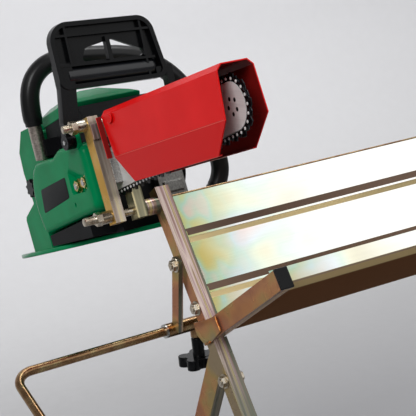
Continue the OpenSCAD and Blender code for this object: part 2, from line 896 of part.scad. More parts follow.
// Body behind the bar, with a bar pad, a shelf below the cover, and the front handle's foot
module saw_crankcase() {
    far_x = case_x + case_w;
    color(black) saw_frame() difference() {
        union() {
            side_plate(case_x, far_x) polygon([
                [case_front, base_top(case_front)], [case_front, 26], [case_front + 36, case_top],
                [case_rear - 16, case_top], [case_rear, 30], [case_rear, base_top(case_rear)]
            ]);
            side_plate(bar_t / 2, case_x + 12) polygon([
                [20, -22], [20, 22], [88, 15], [88, -15]
            ]);
            side_plate(cover_x - cover_d + cover_wall, case_x + 8) polygon([
                [64, base_top(64) + 2], [64, -49], [case_rear - 10, -49],
                [case_rear - 10, base_top(case_rear - 10) + 2]
            ]);
            translate([handle_x[0], handle_y - 2 * handle_r, handle_z + handle_end])
                cube([case_x + 8 - handle_x[0], 3.3 * handle_r, 2.5 * handle_r]);
            side_plate(shield_x[1] - 3 * arm_t, shield_x[1] - arm_t - gap) polygon([
                [shield_y - 8, shield_z - 8], [shield_y - 8, shield_z + 6], [70, 52], [84, 30],
                [case_front + 8, 14]
            ]);
        }
        for (y = stud_y) translate([0, y, stud_z]) along_x(0, case_x, stud_r2);
        translate([0, sprocket_y, 0]) along_x(0, case_x + 7, sprocket_r / 3 + run);
        translate([0, shield_y, shield_z]) along_x(shield_x[1] - 4 * arm_t, far, brake_pin_r);
        handle_frame() translate([handle_x[0], 0, 0]) cylinder(r = handle_r, h = far / 10);
        handle_frame() translate([case_x + case_w - 12, 0, handle_foot]) rotate([0, 90, 0])
            cylinder(r = handle_r, h = far / 10);
        translate([0, oil_y, oil_z]) along_x(far_x - 12, far, cap_r / 2 + run);
    }
}

// Fuel tank and the filter housing over it, behind the crankcase
module saw_tank() {
    color(green) saw_frame() difference() {
        union() {
            side_plate(tank_x, tank_x + tank_w) polygon([
                [case_rear, base_top(case_rear)], [case_rear, 42], [232, 42], [238, 12],
                [tank_rear - 42, 4], [tank_rear - 4, -8], [tank_rear, -13],
                [tank_rear, base_top(tank_rear)]
            ]);
            side_plate(tank_x + 18, tank_x + tank_w) polygon([
                [case_rear, 10], [case_rear, 96], [226, 110], [262, 112], [288, 86], [292, 56],
                [tank_rear, 10]
            ]);
        }
        translate([0, fuel_y, fuel_z]) along_x(tank_x - eps, tank_x + 12, cap_r / 2 + run);
        translate([tank_x - eps, case_rear - eps, -far / 10])
            cube([case_x - tank_x, tank_step + eps, far / 10 + cover_high + 4]);
    }
}

// Hood over the cylinder: its side outline meets a front outline that falls to the far side
module saw_top_cover() {
    x0 = case_x;
    x1 = case_x + case_w - 8;
    color(green) saw_frame() intersection() {
        side_plate(x0 - eps, x1 + eps) polygon([
            [80, case_top], [76, 106], [84, 112], [120, 128], [150, 134], [188, 132],
            [case_rear - gap, 112], [case_rear - gap, case_top]
        ]);
        translate([0, far / 2, 0]) rotate([90, 0, 0]) linear_extrude(far) polygon([
            [x0, case_top], [x0, 114], [x0 + 14, 124], [x0 + 50, 134], [x1 - 24, 120], [x1, 105],
            [x1, case_top]
        ]);
    }
}

// Recoil starter housing on the far side, with a ring of cooling holes
module saw_starter_cover() {
    x0 = case_x + case_w;
    color(black) saw_frame() translate([0, starter_y, starter_z]) difference() {
        union() {
            along_x(x0, x0 + starter_t, starter_r);
            along_x(x0 + starter_t, x0 + starter_t + 6, starter_r - 8);
        }
        for (a = [0:30:330]) translate([0, starter_r * 0.6 * cos(a), starter_r * 0.6 * sin(a)])
            along_x(x0 + starter_t, x0 + 2 * starter_t, 5);
    }
}

// Pull grip on the starter housing's rim
module saw_starter_grip() {
    x0 = case_x + case_w + starter_t / 2 + 2;
    color(black) saw_frame() translate([x0, starter_y, starter_z]) rotate([40, 0, 0]) {
        translate([0, 0, starter_r + run]) cylinder(r = 5, h = 14);
        translate([0, 18, starter_r + 16]) rotate([90, 0, 0]) cylinder(r = 6, h = 36);
    }
}

module saw_muffler() {
    color("dimgray") saw_frame() {
        translate([case_x + 60, 26, -54]) cube([40, case_front - 26, 42]);
        translate([case_x + 66, 23, -44]) cube([28, 3, 14]);
    }
}

// Skid plate under the body, a leaf outline that runs back to a guard for the rear hand
module saw_base_plate() {
    color(green) saw_frame() translate([0, base_y, base_z]) rotate([base_tilt, 0, 0])
        translate([0, -base_y, -base_t]) linear_extrude(base_t) intersection() {
            translate([base_r + base_side[0], base_belly[0]]) circle(r = base_r, $fn = 120);
            translate([base_side[1] - base_r, base_belly[1]]) circle(r = base_r, $fn = 120);
            translate([-far, base_y]) square([2 * far, base_end - base_y]);
        }
}

// Front handle: a tube loop in one tilted plane, from the cover side over the top and down
module handle_frame() {
    saw_frame() translate([0, handle_y, handle_z]) rotate([handle_tilt, 0, 0]) children();
}

module ring(r_out, r_in) {
    difference() {
        circle(r = r_out);
        if (r_in > 0) circle(r = r_in);
    }
}

module pipe(z0, z1, r_out, r_in) {
    translate([0, 0, z0]) linear_extrude(z1 - z0) ring(r_out, r_in);
}

module bend_pipe(bend, r_out, r_in) {
    rotate_extrude(angle = 90) translate([bend, 0]) ring(r_out, r_in);
}

// The loop from a height on the cover side to a height on the far side
module handle_loop(z0, z1, r_out, r_in) {
    near_corner = handle_top - near_bend;
    far_corner = handle_top - far_bend;
    translate([handle_x[0], 0, 0]) pipe(z0, near_corner, r_out, r_in);
    translate([handle_x[0] + near_bend, 0, near_corner]) rotate([90, 0, 0]) rotate([0, 0, 90])
        bend_pipe(near_bend, r_out, r_in);
    translate([handle_x[0] + near_bend, 0, handle_top]) rotate([0, 90, 0])
        pipe(0, handle_x[1] - handle_x[0] - near_bend - far_bend, r_out, r_in);
    translate([handle_x[1] - far_bend, 0, far_corner]) rotate([90, 0, 0])
        bend_pipe(far_bend, r_out, r_in);
    translate([handle_x[1], 0, 0]) pipe(z1, far_corner, r_out, r_in);
}

module saw_front_handle() {
    foot_x = handle_x[1] - foot_bend;
    color(steel) handle_frame() {
        handle_loop(handle_end, handle_foot + foot_bend, handle_r, 0);
        translate([foot_x, 0, handle_foot + foot_bend]) rotate([90, 0, 0]) rotate([0, 0, -90])
            bend_pipe(foot_bend, handle_r, 0);
        translate([case_x + case_w - 12, 0, handle_foot]) rotate([0, 90, 0])
            cylinder(r = handle_r, h = foot_x - case_x - case_w + 12);
    }
}

module saw_front_grip() {
    color(black) handle_frame()
        handle_loop(grip_from, handle_foot + foot_bend, handle_r + grip_t, handle_r + run);
}

// Hand guard: ribbed shield with a divided window on two arms that turn about a pin line
module shield_frame() {
    saw_frame() translate([0, shield_y, shield_z]) rotate([shield_tilt, 0, 0]) children();
}

module shield_outline(in) {
    hull() for (i = [0:3]) translate(shield_corner[i]) circle(r = shield_corner_r[i] - in);
}

// Stands a flat outline drawn in x and z upright, from a place in y to the front
module upright(y, t) {
    translate([0, y, 0]) rotate([90, 0, 0]) linear_extrude(t) children();
}

module saw_hand_guard() {
    near_in = cover_x - cover_d - gap;
    near_x = shield_x[0] + 8;
    far_in = shield_x[1] - arm_t;
    color(black) shield_frame() difference() {
        union() {
            difference() {
                upright(3, shield_t) shield_outline(0);
                upright(3 - shield_skin, shield_t) shield_outline(shield_rim);
                upright(arm_t, 2 * shield_t) hull() for (i = [0:3])
                    translate(window[i]) circle(r = window_r[i]);
            }
            translate([40, -7, 92]) cube([2 * rib_t, 9, 34]);
            for (z = [134, 95]) translate([-34, -9, z]) rotate([0, shield_slope, 0])
                cube([140, rib_h, rib_t]);
            translate([92, -8.5, 64]) cube([rib_t, rib_h, 78]);
            translate([-17, -8.7, 97]) cube([rib_t, rib_h, 51]);
            upright(6, 14) polygon([
                [shield_x[0], 0], [shield_x[0] + 1, arm_knee[0]], [near_x, arm_knee[1]],
                [near_x, arm_knee[2]], [near_x + arm_near_w, arm_knee[2]],
                [near_x + arm_near_w, arm_knee[1]], [shield_x[0] + 1 + arm_near_w, arm_knee[0]],
                [near_in, arm_knee[0] / 2], [near_in, 0]
            ]);
            along_x(shield_x[0], near_in, arm_t);
            translate([far_in, -8, 0]) cube([arm_t, 14, 75]);
            translate([far_in - 14, -7.5, 62]) cube([14 + eps, 13, 12]);
            along_x(far_in, shield_x[1], arm_t - 1);
        }
        along_x(-far, far, brake_pin_r + run);
    }
}

// Short pins that carry the hand guard in the cover and in the body
module saw_hand_guard_pins() {
    near_x = cover_x - cover_d + 2 * cover_wall;
    far_x = shield_x[1] - 3 * arm_t;
    color(steel) saw_frame() translate([0, shield_y, shield_z]) {
        along_x(shield_x[0] - 1, near_x, brake_pin_r);
        along_x(far_x, shield_x[1] + 1, brake_pin_r);
    }
}

// Rear handle: a closed loop with a slot for the trigger and one for its lock
module saw_rear_handle() {
    slot_x = rear_x + (rear_w - control_w) / 2 - gap;
    color(black) saw_frame() difference() {
        side_plate(rear_x, rear_x + rear_w) difference() {
            hull() {
                translate([rear_end_y, rear_end_z]) circle(r = rear_r);
                translate([tank_rear, base_top(tank_rear)]) square([6, 12]);
                translate([tank_rear, 10]) square([14, 34]);
            }
            hull() {
                translate([rear_end_y - 4, rear_end_z - 4]) circle(r = 12, $fn = 32);
                translate([tank_rear + 30, -16]) circle(r = 20, $fn = 32);
            }
        }
        side_plate(rear_x - eps, rear_x + rear_w + eps) polygon([
            [tank_rear - 20, 10], [tank_rear, 10], [292, 56], [288, 86], [tank_rear - 20, 86]
        ]);
        side_plate(rear_x - eps, rear_x + rear_w + eps) polygon([
            [tank_rear - 20, -80], [tank_rear + 40, -80], [tank_rear + 140, base_top(tank_rear + 140)],
            [tank_rear - 20, base_top(tank_rear - 20)]
        ]);
        translate([slot_x, trigger_y - 12, -10]) cube([control_w + 2 * gap, 32, 34]);
        translate([slot_x, lock_y - 34, lock_z - 14]) cube([control_w + 2 * gap, 42, 40]);
        for (p = [[trigger_y, trigger_z], [lock_y, lock_z - 8]]) translate([0, p[0], p[1]])
            along_x(rear_x - eps, rear_x + rear_w + eps, control_pin_r);
    }
}

module saw_control_pins() {
    color(steel) saw_frame() for (p = [[trigger_y, trigger_z], [lock_y, lock_z - 8]])
        translate([0, p[0], p[1]]) along_x(rear_x, rear_x + rear_w, control_pin_r);
}

module saw_throttle_trigger() {
    x0 = rear_x + (rear_w - control_w) / 2;
    color(black) saw_frame() difference() {
        side_plate(x0, x0 + control_w) polygon([
            [trigger_y - 6, trigger_z + 5], [trigger_y + 6, trigger_z + 5], [trigger_y + 16, trigger_z - 10],
            [trigger_y + 4, trigger_z - 30], [trigger_y - 6, trigger_z - 30], [trigger_y, trigger_z - 16],
            [trigger_y - 6, trigger_z - 6]
        ]);
        translate([0, trigger_y, trigger_z]) along_x(x0 - eps, x0 + control_w + eps, control_pin_r + run);
    }
}

module saw_throttle_lock() {
    x0 = rear_x + (rear_w - control_w) / 2;
    color(black) saw_frame() difference() {
        side_plate(x0, x0 + control_w) polygon([
            [lock_y - 24, lock_z - 1], [lock_y - 25, lock_z + 10], [lock_y - 6, lock_z + 4],
            [lock_y + 4, lock_z - 5], [lock_y + 3, lock_z - 11], [lock_y - 4, lock_z - 12]
        ]);
        translate([0, lock_y, lock_z - 8]) along_x(x0 - eps, x0 + control_w + eps, control_pin_r + run);
    }
}

// Tank caps with notched rims and short plugs
module tank_cap() {
    difference() {
        along_x(-cap_h, 0, cap_r);
        for (a = [0:45:315]) rotate([a, 0, 0]) translate([0, cap_r + 1, 0]) along_x(-cap_h - 1, -2, 4);
    }
    along_x(-eps, 10, cap_r / 2);
}

module saw_fuel_cap() {
    color(black) saw_frame() translate([tank_x - gap, fuel_y, fuel_z]) tank_cap();
}

module saw_oil_cap() {
    color(black) saw_frame() translate([case_x + case_w + gap, oil_y, oil_z]) mirror([1, 0, 0]) tank_cap();
}

rear_post("left");  // left_rear_post
front_leg("left");  // left_front_leg
front_arm("left");  // left_front_arm
rear_leg("left");  // left_rear_leg
gusset("left");  // left_gusset
rear_post("right");  // right_rear_post
front_leg("right");  // right_front_leg
front_arm("right");  // right_front_arm
rear_leg("right");  // right_rear_leg
gusset("right");  // right_gusset
trough_back_panel();
trough_front_panel();
leg_feet();
arm_caps();
frame_bolts();
frame_nuts();
stop_hanger();
stop_sleeve();
stop_bush();
stop_rod();
stop_knob();
pivot_bush();
holder_collar();
clamp_post_outer();
clamp_post_inner();
clamp_pads();
clamp_bolts();
clamp_sleeves();
clamp_nuts();
guard_arm();
guard_pivot_bolts();
chain_guard();
saw_crankcase();
saw_sprocket_cover();
saw_bar_studs();
saw_bar_nuts();
saw_tank();
saw_guide_bar();
saw_chain();
saw_drive_sprocket();
saw_front_handle();
saw_front_grip();
saw_hand_guard();
saw_hand_guard_pins();
saw_top_cover();
saw_starter_cover();
saw_starter_grip();
saw_rear_handle();
saw_base_plate();
saw_muffler();
saw_throttle_trigger();
saw_throttle_lock();
saw_control_pins();
saw_fuel_cap();
saw_oil_cap();
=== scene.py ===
import json
import math

import bmesh
import bpy
from mathutils import Euler, Matrix, Vector


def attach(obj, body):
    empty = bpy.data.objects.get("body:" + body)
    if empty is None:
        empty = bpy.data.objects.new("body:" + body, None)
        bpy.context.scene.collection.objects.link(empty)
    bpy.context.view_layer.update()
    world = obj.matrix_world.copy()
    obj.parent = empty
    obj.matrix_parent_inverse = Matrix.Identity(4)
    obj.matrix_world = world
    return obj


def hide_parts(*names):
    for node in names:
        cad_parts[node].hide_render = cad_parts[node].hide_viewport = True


MM = 0.001

# Camera: low three-quarter view on the saw end, matched to the photographed edges
CAMERA_EYE = Vector((-1198.38, -1581.89, 1122.03)) * MM
CAMERA_TURN = Euler([math.radians(angle) for angle in (76.8791, 6.4012, -31.3751)])
CAMERA_LENS = 124.37
SENSOR_WIDTH = 36.0
CAMERA_REACH = 50.0

cam_data = bpy.data.cameras.new("camera")
cam_data.lens = CAMERA_LENS
cam_data.sensor_width = SENSOR_WIDTH
cam_data.clip_end = CAMERA_REACH
camera = bpy.data.objects.new("camera", cam_data)
bpy.context.scene.collection.objects.link(camera)
camera.matrix_world = Matrix.LocRotScale(CAMERA_EYE, CAMERA_TURN, None)
bpy.context.scene.camera = camera

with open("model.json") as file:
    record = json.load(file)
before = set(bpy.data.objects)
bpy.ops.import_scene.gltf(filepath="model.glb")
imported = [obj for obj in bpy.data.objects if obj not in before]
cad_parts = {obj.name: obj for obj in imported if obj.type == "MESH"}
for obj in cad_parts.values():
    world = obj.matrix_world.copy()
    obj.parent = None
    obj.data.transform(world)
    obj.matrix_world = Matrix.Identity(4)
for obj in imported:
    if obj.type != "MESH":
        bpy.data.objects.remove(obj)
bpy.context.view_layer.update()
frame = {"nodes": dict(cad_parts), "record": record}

# Origins of the pieces' own frames, in millimetres, and their tilts, in degrees, as in the solids.
# The stand's frame starts at the trough's fold, at its left end, and the saw's at the clamp
TROUGH_FOLD = Vector((-334.0, -84.579, 560.0))
POST_LEAN = 30
CLAMP = Vector((-60.0, 120.369, 211.0))
SAW_TILT = 19
GUARD_HINGE = Vector((0.0, -69.0, 53.2))
GUARD_TILT = 4.5
SHIELD_PIN = Vector((0.0, 36.0, 50.0))
SHIELD_TILT = 7
HANDLE_FOOT = Vector((0.0, 185.0, 49.0))
HANDLE_LEAN = 15


def tilted(place, origin, degrees):
    """A frame that starts at origin in another frame and is tilted about X."""
    return place @ Matrix.Translation(origin) @ Matrix.Rotation(math.radians(degrees), 4, "X")


STAND = Matrix.Scale(MM, 4) @ Matrix.Translation(TROUGH_FOLD)
# Along the leaning rear post: y to the rear, z up the post
POST = tilted(STAND, Vector(), -POST_LEAN)
# Along the saw: x across, y to its rear, z up
SAW = tilted(STAND, CLAMP, -SAW_TILT)
GUARD = tilted(SAW, GUARD_HINGE, GUARD_TILT)
SHIELD = tilted(SAW, SHIELD_PIN, SHIELD_TILT)
HANDLE = tilted(SAW, HANDLE_FOOT, HANDLE_LEAN)


def linear(hex_colour):
    """Turns an sRGB hex colour into Blender's linear RGBA."""
    rgb = [int(hex_colour[i:i + 2], 16) / 255 for i in (1, 3, 5)]
    return tuple(c / 12.92 if c <= 0.04045 else ((c + 0.055) / 1.055) ** 2.4 for c in rgb) + (1.0,)


def feed(tree, node, inputs):
    """Gives a node its inputs: a socket is linked, and a plain value is set."""
    for name, value in inputs.items():
        if isinstance(value, bpy.types.NodeSocket):
            tree.links.new(value, node.inputs[name])
        else:
            node.inputs[name].default_value = value


def add(tree, kind, out, inputs=None, stops=(), **fields):
    """Adds a node with its fields, its inputs and a ramp's (position, hex) stops, and gives one output."""
    node = tree.nodes.new(kind)
    for name, value in fields.items():
        setattr(node, name, value)
    feed(tree, node, inputs or {})
    if stops:
        bands = node.color_ramp.elements
        while len(bands) < len(stops):
            bands.new(0.5)
        for band, (position, colour) in zip(bands, stops):
            band.position = position
            band.color = linear(colour)
    return node.outputs[out]


def start(name):
    """A new material with its node tree, its shader and the object's own coordinates."""
    material = bpy.data.materials.new(name)
    material.use_nodes = True
    tree = material.node_tree
    return material, tree, tree.nodes["Principled BSDF"], add(tree, "ShaderNodeTexCoord", "Object")


def stretched(tree, place, size_mm, detail, roughness=0.5):
    """Noise whose cells are size_mm = (x, y, z) long. Real grain, rolling lines and scratches are finer than
    a millimetre, and are drawn about as coarse as that so that they show."""
    scale = [1 / (size * MM) for size in size_mm]
    cells = add(tree, "ShaderNodeMapping", "Vector", {"Vector": place, "Scale": scale})
    return add(tree, "ShaderNodeTexNoise", "Fac", {
        "Vector": cells, "Scale": 1.0, "Detail": detail, "Roughness": roughness,
    })


def finish_metal(tree, shader, colour, pattern, low, high, metallic=1.0):
    """A metal's colour, and its roughness from low to high along a pattern."""
    rough = add(tree, "ShaderNodeMapRange", "Result", {
        "Value": pattern, "From Min": 0.3, "From Max": 0.7, "To Min": low, "To Max": high,
    })
    feed(tree, shader, {"Base Color": colour, "Roughness": rough, "Metallic": metallic})


# Millimetres from the trough's left end in which the sheet's clouds and its olive end tint fade, and
# millimetres below the trough's fold in which the tubes' fronts turn grey: painted shade under the trough
CLOUD_SPAN = (4, 234)
END_TINT_SPAN = (-1, 89)
GREY_SPAN = 80


def zinc_sheet():
    """Yellow-passivated zinc on cold-rolled sheet. The film is thin here, so the eye sees an almost white
    mirror with faint straw, green, blue and pink clouds, strongest at the trough's left end, and fine
    rolling lines along X. The grooves, the bent edges and the front wall are painted olive to dark brown
    by the way each face tilts: painted shade and reflection."""
    material, tree, shader, place = start("zinc_sheet")
    along = add(tree, "ShaderNodeSeparateXYZ", "X", {"Vector": place})
    clouds_from, clouds_to, end_tint_from, end_tint_to = (
        (TROUGH_FOLD.x + span) * MM for span in CLOUD_SPAN + END_TINT_SPAN)
    film = stretched(tree, place, (80, 55, 55), 1.0, roughness=0.4)
    clouds = add(tree, "ShaderNodeValToRGB", "Color", {"Fac": film}, stops=[
        (0.25, "#c2b980"), (0.40, "#dcd8ae"), (0.48, "#d6e2c4"),
        (0.54, "#c4dcca"), (0.62, "#d0dce2"), (0.75, "#e0ccc6"),
    ])
    fade = add(tree, "ShaderNodeMapRange", "Result", {
        "Value": along, "From Min": clouds_from, "From Max": clouds_to, "To Min": 1.0, "To Max": 0.05,
    })
    pale = add(tree, "ShaderNodeMixRGB", "Color", {
        "Fac": fade, "Color1": linear("#f7f6f2"), "Color2": clouds,
    })
    # Darker olive clouds, strongest at the trough's left end and gone 89 mm from it
    patches = stretched(tree, place, (30, 40, 40), 1.0)
    end_tint = add(tree, "ShaderNodeValToRGB", "Color", {"Fac": patches}, stops=[
        (0.38, "#a8984c"), (0.48, "#98a06c"), (0.56, "#84a696"), (0.66, "#b09c94"),
    ])
    end = add(tree, "ShaderNodeMapRange", "Result", {
        "Value": along, "From Min": end_tint_from, "From Max": end_tint_to, "To Min": 0.9, "To Max": 0.0,
    })
    flat = add(tree, "ShaderNodeMixRGB", "Color", {"Fac": end, "Color1": pale, "Color2": end_tint})
    # The back wall's open face leans by the post's angle, and that tells it from the other faces, which get
    # painted shade and reflection by their tilt
    normal = add(tree, "ShaderNodeTexCoord", "Normal")
    tilt = add(tree, "ShaderNodeSeparateXYZ", "Z", {"Vector": normal})
    turn = add(tree, "ShaderNodeMapRange", "Result", {"Value": tilt, "From Min": -1.0, "From Max": 1.0})
    # Painted shade and reflection: olive to dark brown by how a face tilts, darkest on faces that look down
    tilt_shade_tones = add(tree, "ShaderNodeValToRGB", "Color", {"Fac": turn}, stops=[
        (0.07, "#6a4a34"), (0.2, "#6a4e36"), (0.34, "#b09a70"), (0.42, "#a89268"),
        (0.5, "#8a746c"), (0.62, "#8f7f60"), (0.9, "#a0906a"),
    ])
    wall_turn = (1 + math.sin(math.radians(POST_LEAN))) / 2
    wall = add(tree, "ShaderNodeMath", "Value", {0: turn, 1: wall_turn, 2: 0.06}, operation="COMPARE")
    tint = add(tree, "ShaderNodeMixRGB", "Color", {"Fac": wall, "Color1": tilt_shade_tones, "Color2": flat})
    bright = add(tree, "ShaderNodeMapRange", "Result", {"Value": wall, "To Min": 0.12, "To Max": 1.0})
    lines = stretched(tree, place, (160, 1.6, 1.6), 2.0)
    finish_metal(tree, shader, tint, lines, 0.10, 0.24, metallic=bright)
    feed(tree, shader, {"Specular IOR Level": 0.0, "Specular Tint": linear("#8f6f4a")})
    return material


def zinc_tube(name, side_tones, front_tones):
    """Yellow-passivated zinc on drawn tube. Side walls drift from bronze to olive over a hand's breadth, and
    front faces carry lilac and cream bands along the tube. The bronze on the side walls against the pale
    fronts is painted reflection and shade, set by which way a face turns. Below the trough the fronts
    turn grey-green: painted shade under the trough."""
    material, tree, shader, place = start(name)
    film = stretched(tree, place, (70, 70, 70), 3.0)
    sides = add(tree, "ShaderNodeValToRGB", "Color", {"Fac": film}, stops=side_tones)
    drawn = stretched(tree, place, (7, 260, 260), 1.0)
    bands = add(tree, "ShaderNodeValToRGB", "Color", {"Fac": drawn}, stops=front_tones)
    height = add(tree, "ShaderNodeSeparateXYZ", "Z", {"Vector": place})
    # Painted shade: fronts under the trough's fold turn grey-green
    below = add(tree, "ShaderNodeMapRange", "Result", {
        "Value": height, "From Min": (TROUGH_FOLD.z - GREY_SPAN) * MM, "From Max": TROUGH_FOLD.z * MM,
        "To Min": 0.7, "To Max": 0.0,
    })
    fronts = add(tree, "ShaderNodeMixRGB", "Color", {
        "Fac": below, "Color1": bands, "Color2": linear("#646d62"),
    })
    # Painted reflection and shade: faces that turn to X take the bronze side tones, the others the pale front
    # tones
    normal = add(tree, "ShaderNodeTexCoord", "Normal")
    across = add(tree, "ShaderNodeSeparateXYZ", "X", {"Vector": normal})
    side = add(tree, "ShaderNodeMath", "Value", {0: across}, operation="ABSOLUTE")
    tint = add(tree, "ShaderNodeMixRGB", "Color", {"Fac": side, "Color1": fronts, "Color2": sides})
    grain = stretched(tree, place, (12, 40, 40), 1.0)
    finish_metal(tree, shader, tint, grain, 0.2, 0.3, metallic=0.6)
    feed(tree, shader, {"Specular Tint": linear("#b08a62")})
    return material


def zinc_plain(name, tones, low, high):
    """Zinc on small hardware: one film colour with slight drift and a fine satin grain."""
    material, tree, shader, place = start(name)
    film = stretched(tree, place, (14, 14, 14), 3.0)
    tint = add(tree, "ShaderNodeValToRGB", "Color", {"Fac": film}, stops=tones)
    grain = stretched(tree, place, (1.5, 1.5, 1.5), 2.0)
    finish_metal(tree, shader, tint, grain, low, high)
    return material


def weld_scale():
    """Weld bead on zinc: copper to straw heat colours, dull in patches."""
    material, tree, shader, place = start("weld_scale")
    heat = stretched(tree, place, (6, 6, 6), 2.0)
    tint = add(tree, "ShaderNodeValToRGB", "Color", {"Fac": heat}, stops=[
        (0.35, "#a8683a"), (0.5, "#c48a52"), (0.65, "#8c7a5c"),
    ])
    finish_metal(tree, shader, tint, heat, 0.28, 0.5)
    return material


def red_enamel(name, tones, down_shade_tone):
    """Red baked enamel on sheet steel: an even glossy coat with a faint orange-peel ripple outside. Faces
    that look down are painted a deeper red, and faces on the inside are painted dark red: painted shade."""
    material, tree, shader, place = start(name)
    cloud = stretched(tree, place, (60, 60, 60), 2.0)
    outer = add(tree, "ShaderNodeValToRGB", "Color", {"Fac": cloud}, stops=tones)
    normal = add(tree, "ShaderNodeTexCoord", "Normal")
    lean = add(tree, "ShaderNodeSeparateXYZ", "Z", {"Vector": normal})
    # Painted shade: faces that look down take the deeper shade tone
    upward = add(tree, "ShaderNodeMapRange", "Result", {"Value": lean, "From Min": -0.06, "From Max": 0.0})
    walls = add(tree, "ShaderNodeMixRGB", "Color", {
        "Fac": upward, "Color1": linear(down_shade_tone), "Color2": outer,
    })
    # An inner face looks back to the guard's hinge, and is painted dark red: painted shade in the guard
    hinge = GUARD.translation
    apart = add(tree, "ShaderNodeVectorMath", "Vector", {0: place, 1: hinge}, operation="SUBTRACT")
    facing = add(tree, "ShaderNodeVectorMath", "Value", {0: apart, 1: normal}, operation="DOT_PRODUCT")
    inside = add(tree, "ShaderNodeMath", "Value", {0: facing, 1: 0.0}, operation="LESS_THAN")
    tone = add(tree, "ShaderNodeMixRGB", "Color", {
        "Fac": inside, "Color1": walls, "Color2": linear("#701210"),
    })
    peel = stretched(tree, place, (2.5, 2.5, 2.5), 2.0)
    ripple = add(tree, "ShaderNodeBump", "Normal", {"Height": peel, "Strength": 0.08, "Distance": 0.2 * MM})
    feed(tree, shader, {"Base Color": tone, "Normal": ripple, "Roughness": 0.26, "Specular IOR Level": 0.09})
    return material


def moulded(name, low, high, rough, grain_mm, depth_mm, shine):
    """Moulded plastic or rubber, or a painted casting: one colour with slight clouds and a fine grain."""
    material, tree, shader, place = start(name)
    grain = stretched(tree, place, (grain_mm,) * 3, 3.0)
    cloud = stretched(tree, place, (40, 40, 40), 2.0)
    tone = add(tree, "ShaderNodeValToRGB", "Color", {"Fac": cloud}, stops=[(0.3, low), (0.7, high)])
    gloss = add(tree, "ShaderNodeMapRange", "Result", {
        "Value": grain, "To Min": rough - 0.06, "To Max": rough + 0.06,
    })
    relief = add(tree, "ShaderNodeBump", "Normal", {
        "Height": grain, "Strength": 0.2, "Distance": depth_mm * MM,
    })
    feed(tree, shader, {
        "Base Color": tone, "Roughness": gloss, "Normal": relief, "Specular IOR Level": shine,
    })
    return material


def ground_steel(name, tones, low, high, metallic=1.0):
    """Ground steel: grey metal with straight fine scratches along the bar."""
    material, tree, shader, place = start(name)
    scratch = stretched(tree, place, (2.5, 80, 2.5), 3.0)
    tone = add(tree, "ShaderNodeValToRGB", "Color", {"Fac": scratch}, stops=tones)
    finish_metal(tree, shader, tone, scratch, low, high, metallic)
    return material


SHEET = zinc_sheet()
TUBE = zinc_tube(
    "zinc_tube", [(0.36, "#a8765e"), (0.46, "#ba8a62"), (0.54, "#a89464"), (0.62, "#988a72")],
    [
        (0.38, "#66685a"), (0.45, "#8e7468"), (0.50, "#a68c8e"),
        (0.54, "#cbbab0"), (0.58, "#8c7562"), (0.64, "#c0ae84"),
    ])
# The near clamp post is golden, the far one olive
CLAMP_NEAR = zinc_tube(
    "zinc_near_clamp_tube", [(0.36, "#b8914c"), (0.5, "#cca45a"), (0.62, "#d6b87a")],
    [(0.38, "#9a8e80"), (0.48, "#ae9c8e"), (0.56, "#bcb2a6"), (0.62, "#d4c496")])
CLAMP_FAR = zinc_tube(
    "zinc_far_clamp_tube", [(0.36, "#6a6650"), (0.5, "#87826a"), (0.62, "#c0b48a")],
    [(0.38, "#5c5a48"), (0.48, "#76735e"), (0.56, "#8e8a72"), (0.62, "#c4b78e")])
# Nuts, bolts and washers are washed out to a warm grey, the bar's nuts are golden, the rod is brown
HARDWARE = zinc_plain("zinc_hardware", [(0.3, "#8f826e"), (0.5, "#b5aa98"), (0.7, "#c9c2b4")], 0.2, 0.4)
GILT = zinc_plain("zinc_gilt", [(0.3, "#a98a4e"), (0.5, "#c4aa6a"), (0.7, "#d8c894")], 0.18, 0.36)
ROD = zinc_plain("zinc_rod", [(0.3, "#7a5c40"), (0.5, "#957656"), (0.7, "#a39068")], 0.18, 0.34)
WELD = weld_scale()
RED = red_enamel("red_enamel", [(0.3, "#da0c0c"), (0.7, "#e41414")], "#d20e0d")
# The fold's rounded edge is painted a lighter red: a painted highlight
RED_FOLD_HIGHLIGHT = red_enamel("red_enamel_fold_highlight", [(0.3, "#ee4a42"), (0.7, "#f25a50")], "#e23a34")
# Smooth ABS covers: an even deep green with a soft sheen
GREEN = moulded("green_abs", "#007c4a", "#008a54", 0.2, 1.5, 0.04, 0.06)
# Nylon from a spark-eroded mould: near black with a dull sheen, and from a polished one: a long highlight
BLACK = moulded("black_nylon", "#060708", "#0b0c0e", 0.26, 0.9, 0.06, 0.16)
POLISHED = moulded("polished_black_plastic", "#08090b", "#101216", 0.2, 12.0, 0.05, 0.5)
# Extruded rubber: black with a slightly greasy sheen
RUBBER = moulded("black_rubber", "#0b0b0c", "#121213", 0.36, 1.2, 0.08, 0.3)
# Die casting under stove paint: matt charcoal
CASE = moulded("black_cast_case", "#0c0d0e", "#141517", 0.45, 1.0, 0.1, 0.06)
# Cut vinyl sheet: flat charcoal
VINYL = moulded("dark_vinyl", "#121415", "#1b1d1e", 0.3, 2.0, 0.02, 0.04)
STEEL = ground_steel("ground_steel", [(0.3, "#a2a2a0"), (0.7, "#cfcecb")], 0.22, 0.4)
# Blued chain: almost black
CHAIN = ground_steel("blued_chain_steel", [(0.3, "#26272a"), (0.7, "#3c3d40")], 0.3, 0.45)
# Guide bar under pale lacquer: light grey and dull
BAR = ground_steel("bar_steel", [(0.3, "#d8d8d6"), (0.7, "#eaeae8")], 0.4, 0.55, metallic=0.3)
# Pressed muffler, dulled by heat
MUFFLER = ground_steel("heat_dulled_steel", [(0.3, "#5c5b58"), (0.7, "#8b8a86")], 0.4, 0.6)
# Drawn alloy tube: warm satin grey
ALLOY = ground_steel("satin_alloy_tube", [(0.3, "#9c9187"), (0.7, "#c9beb4")], 0.3, 0.45)

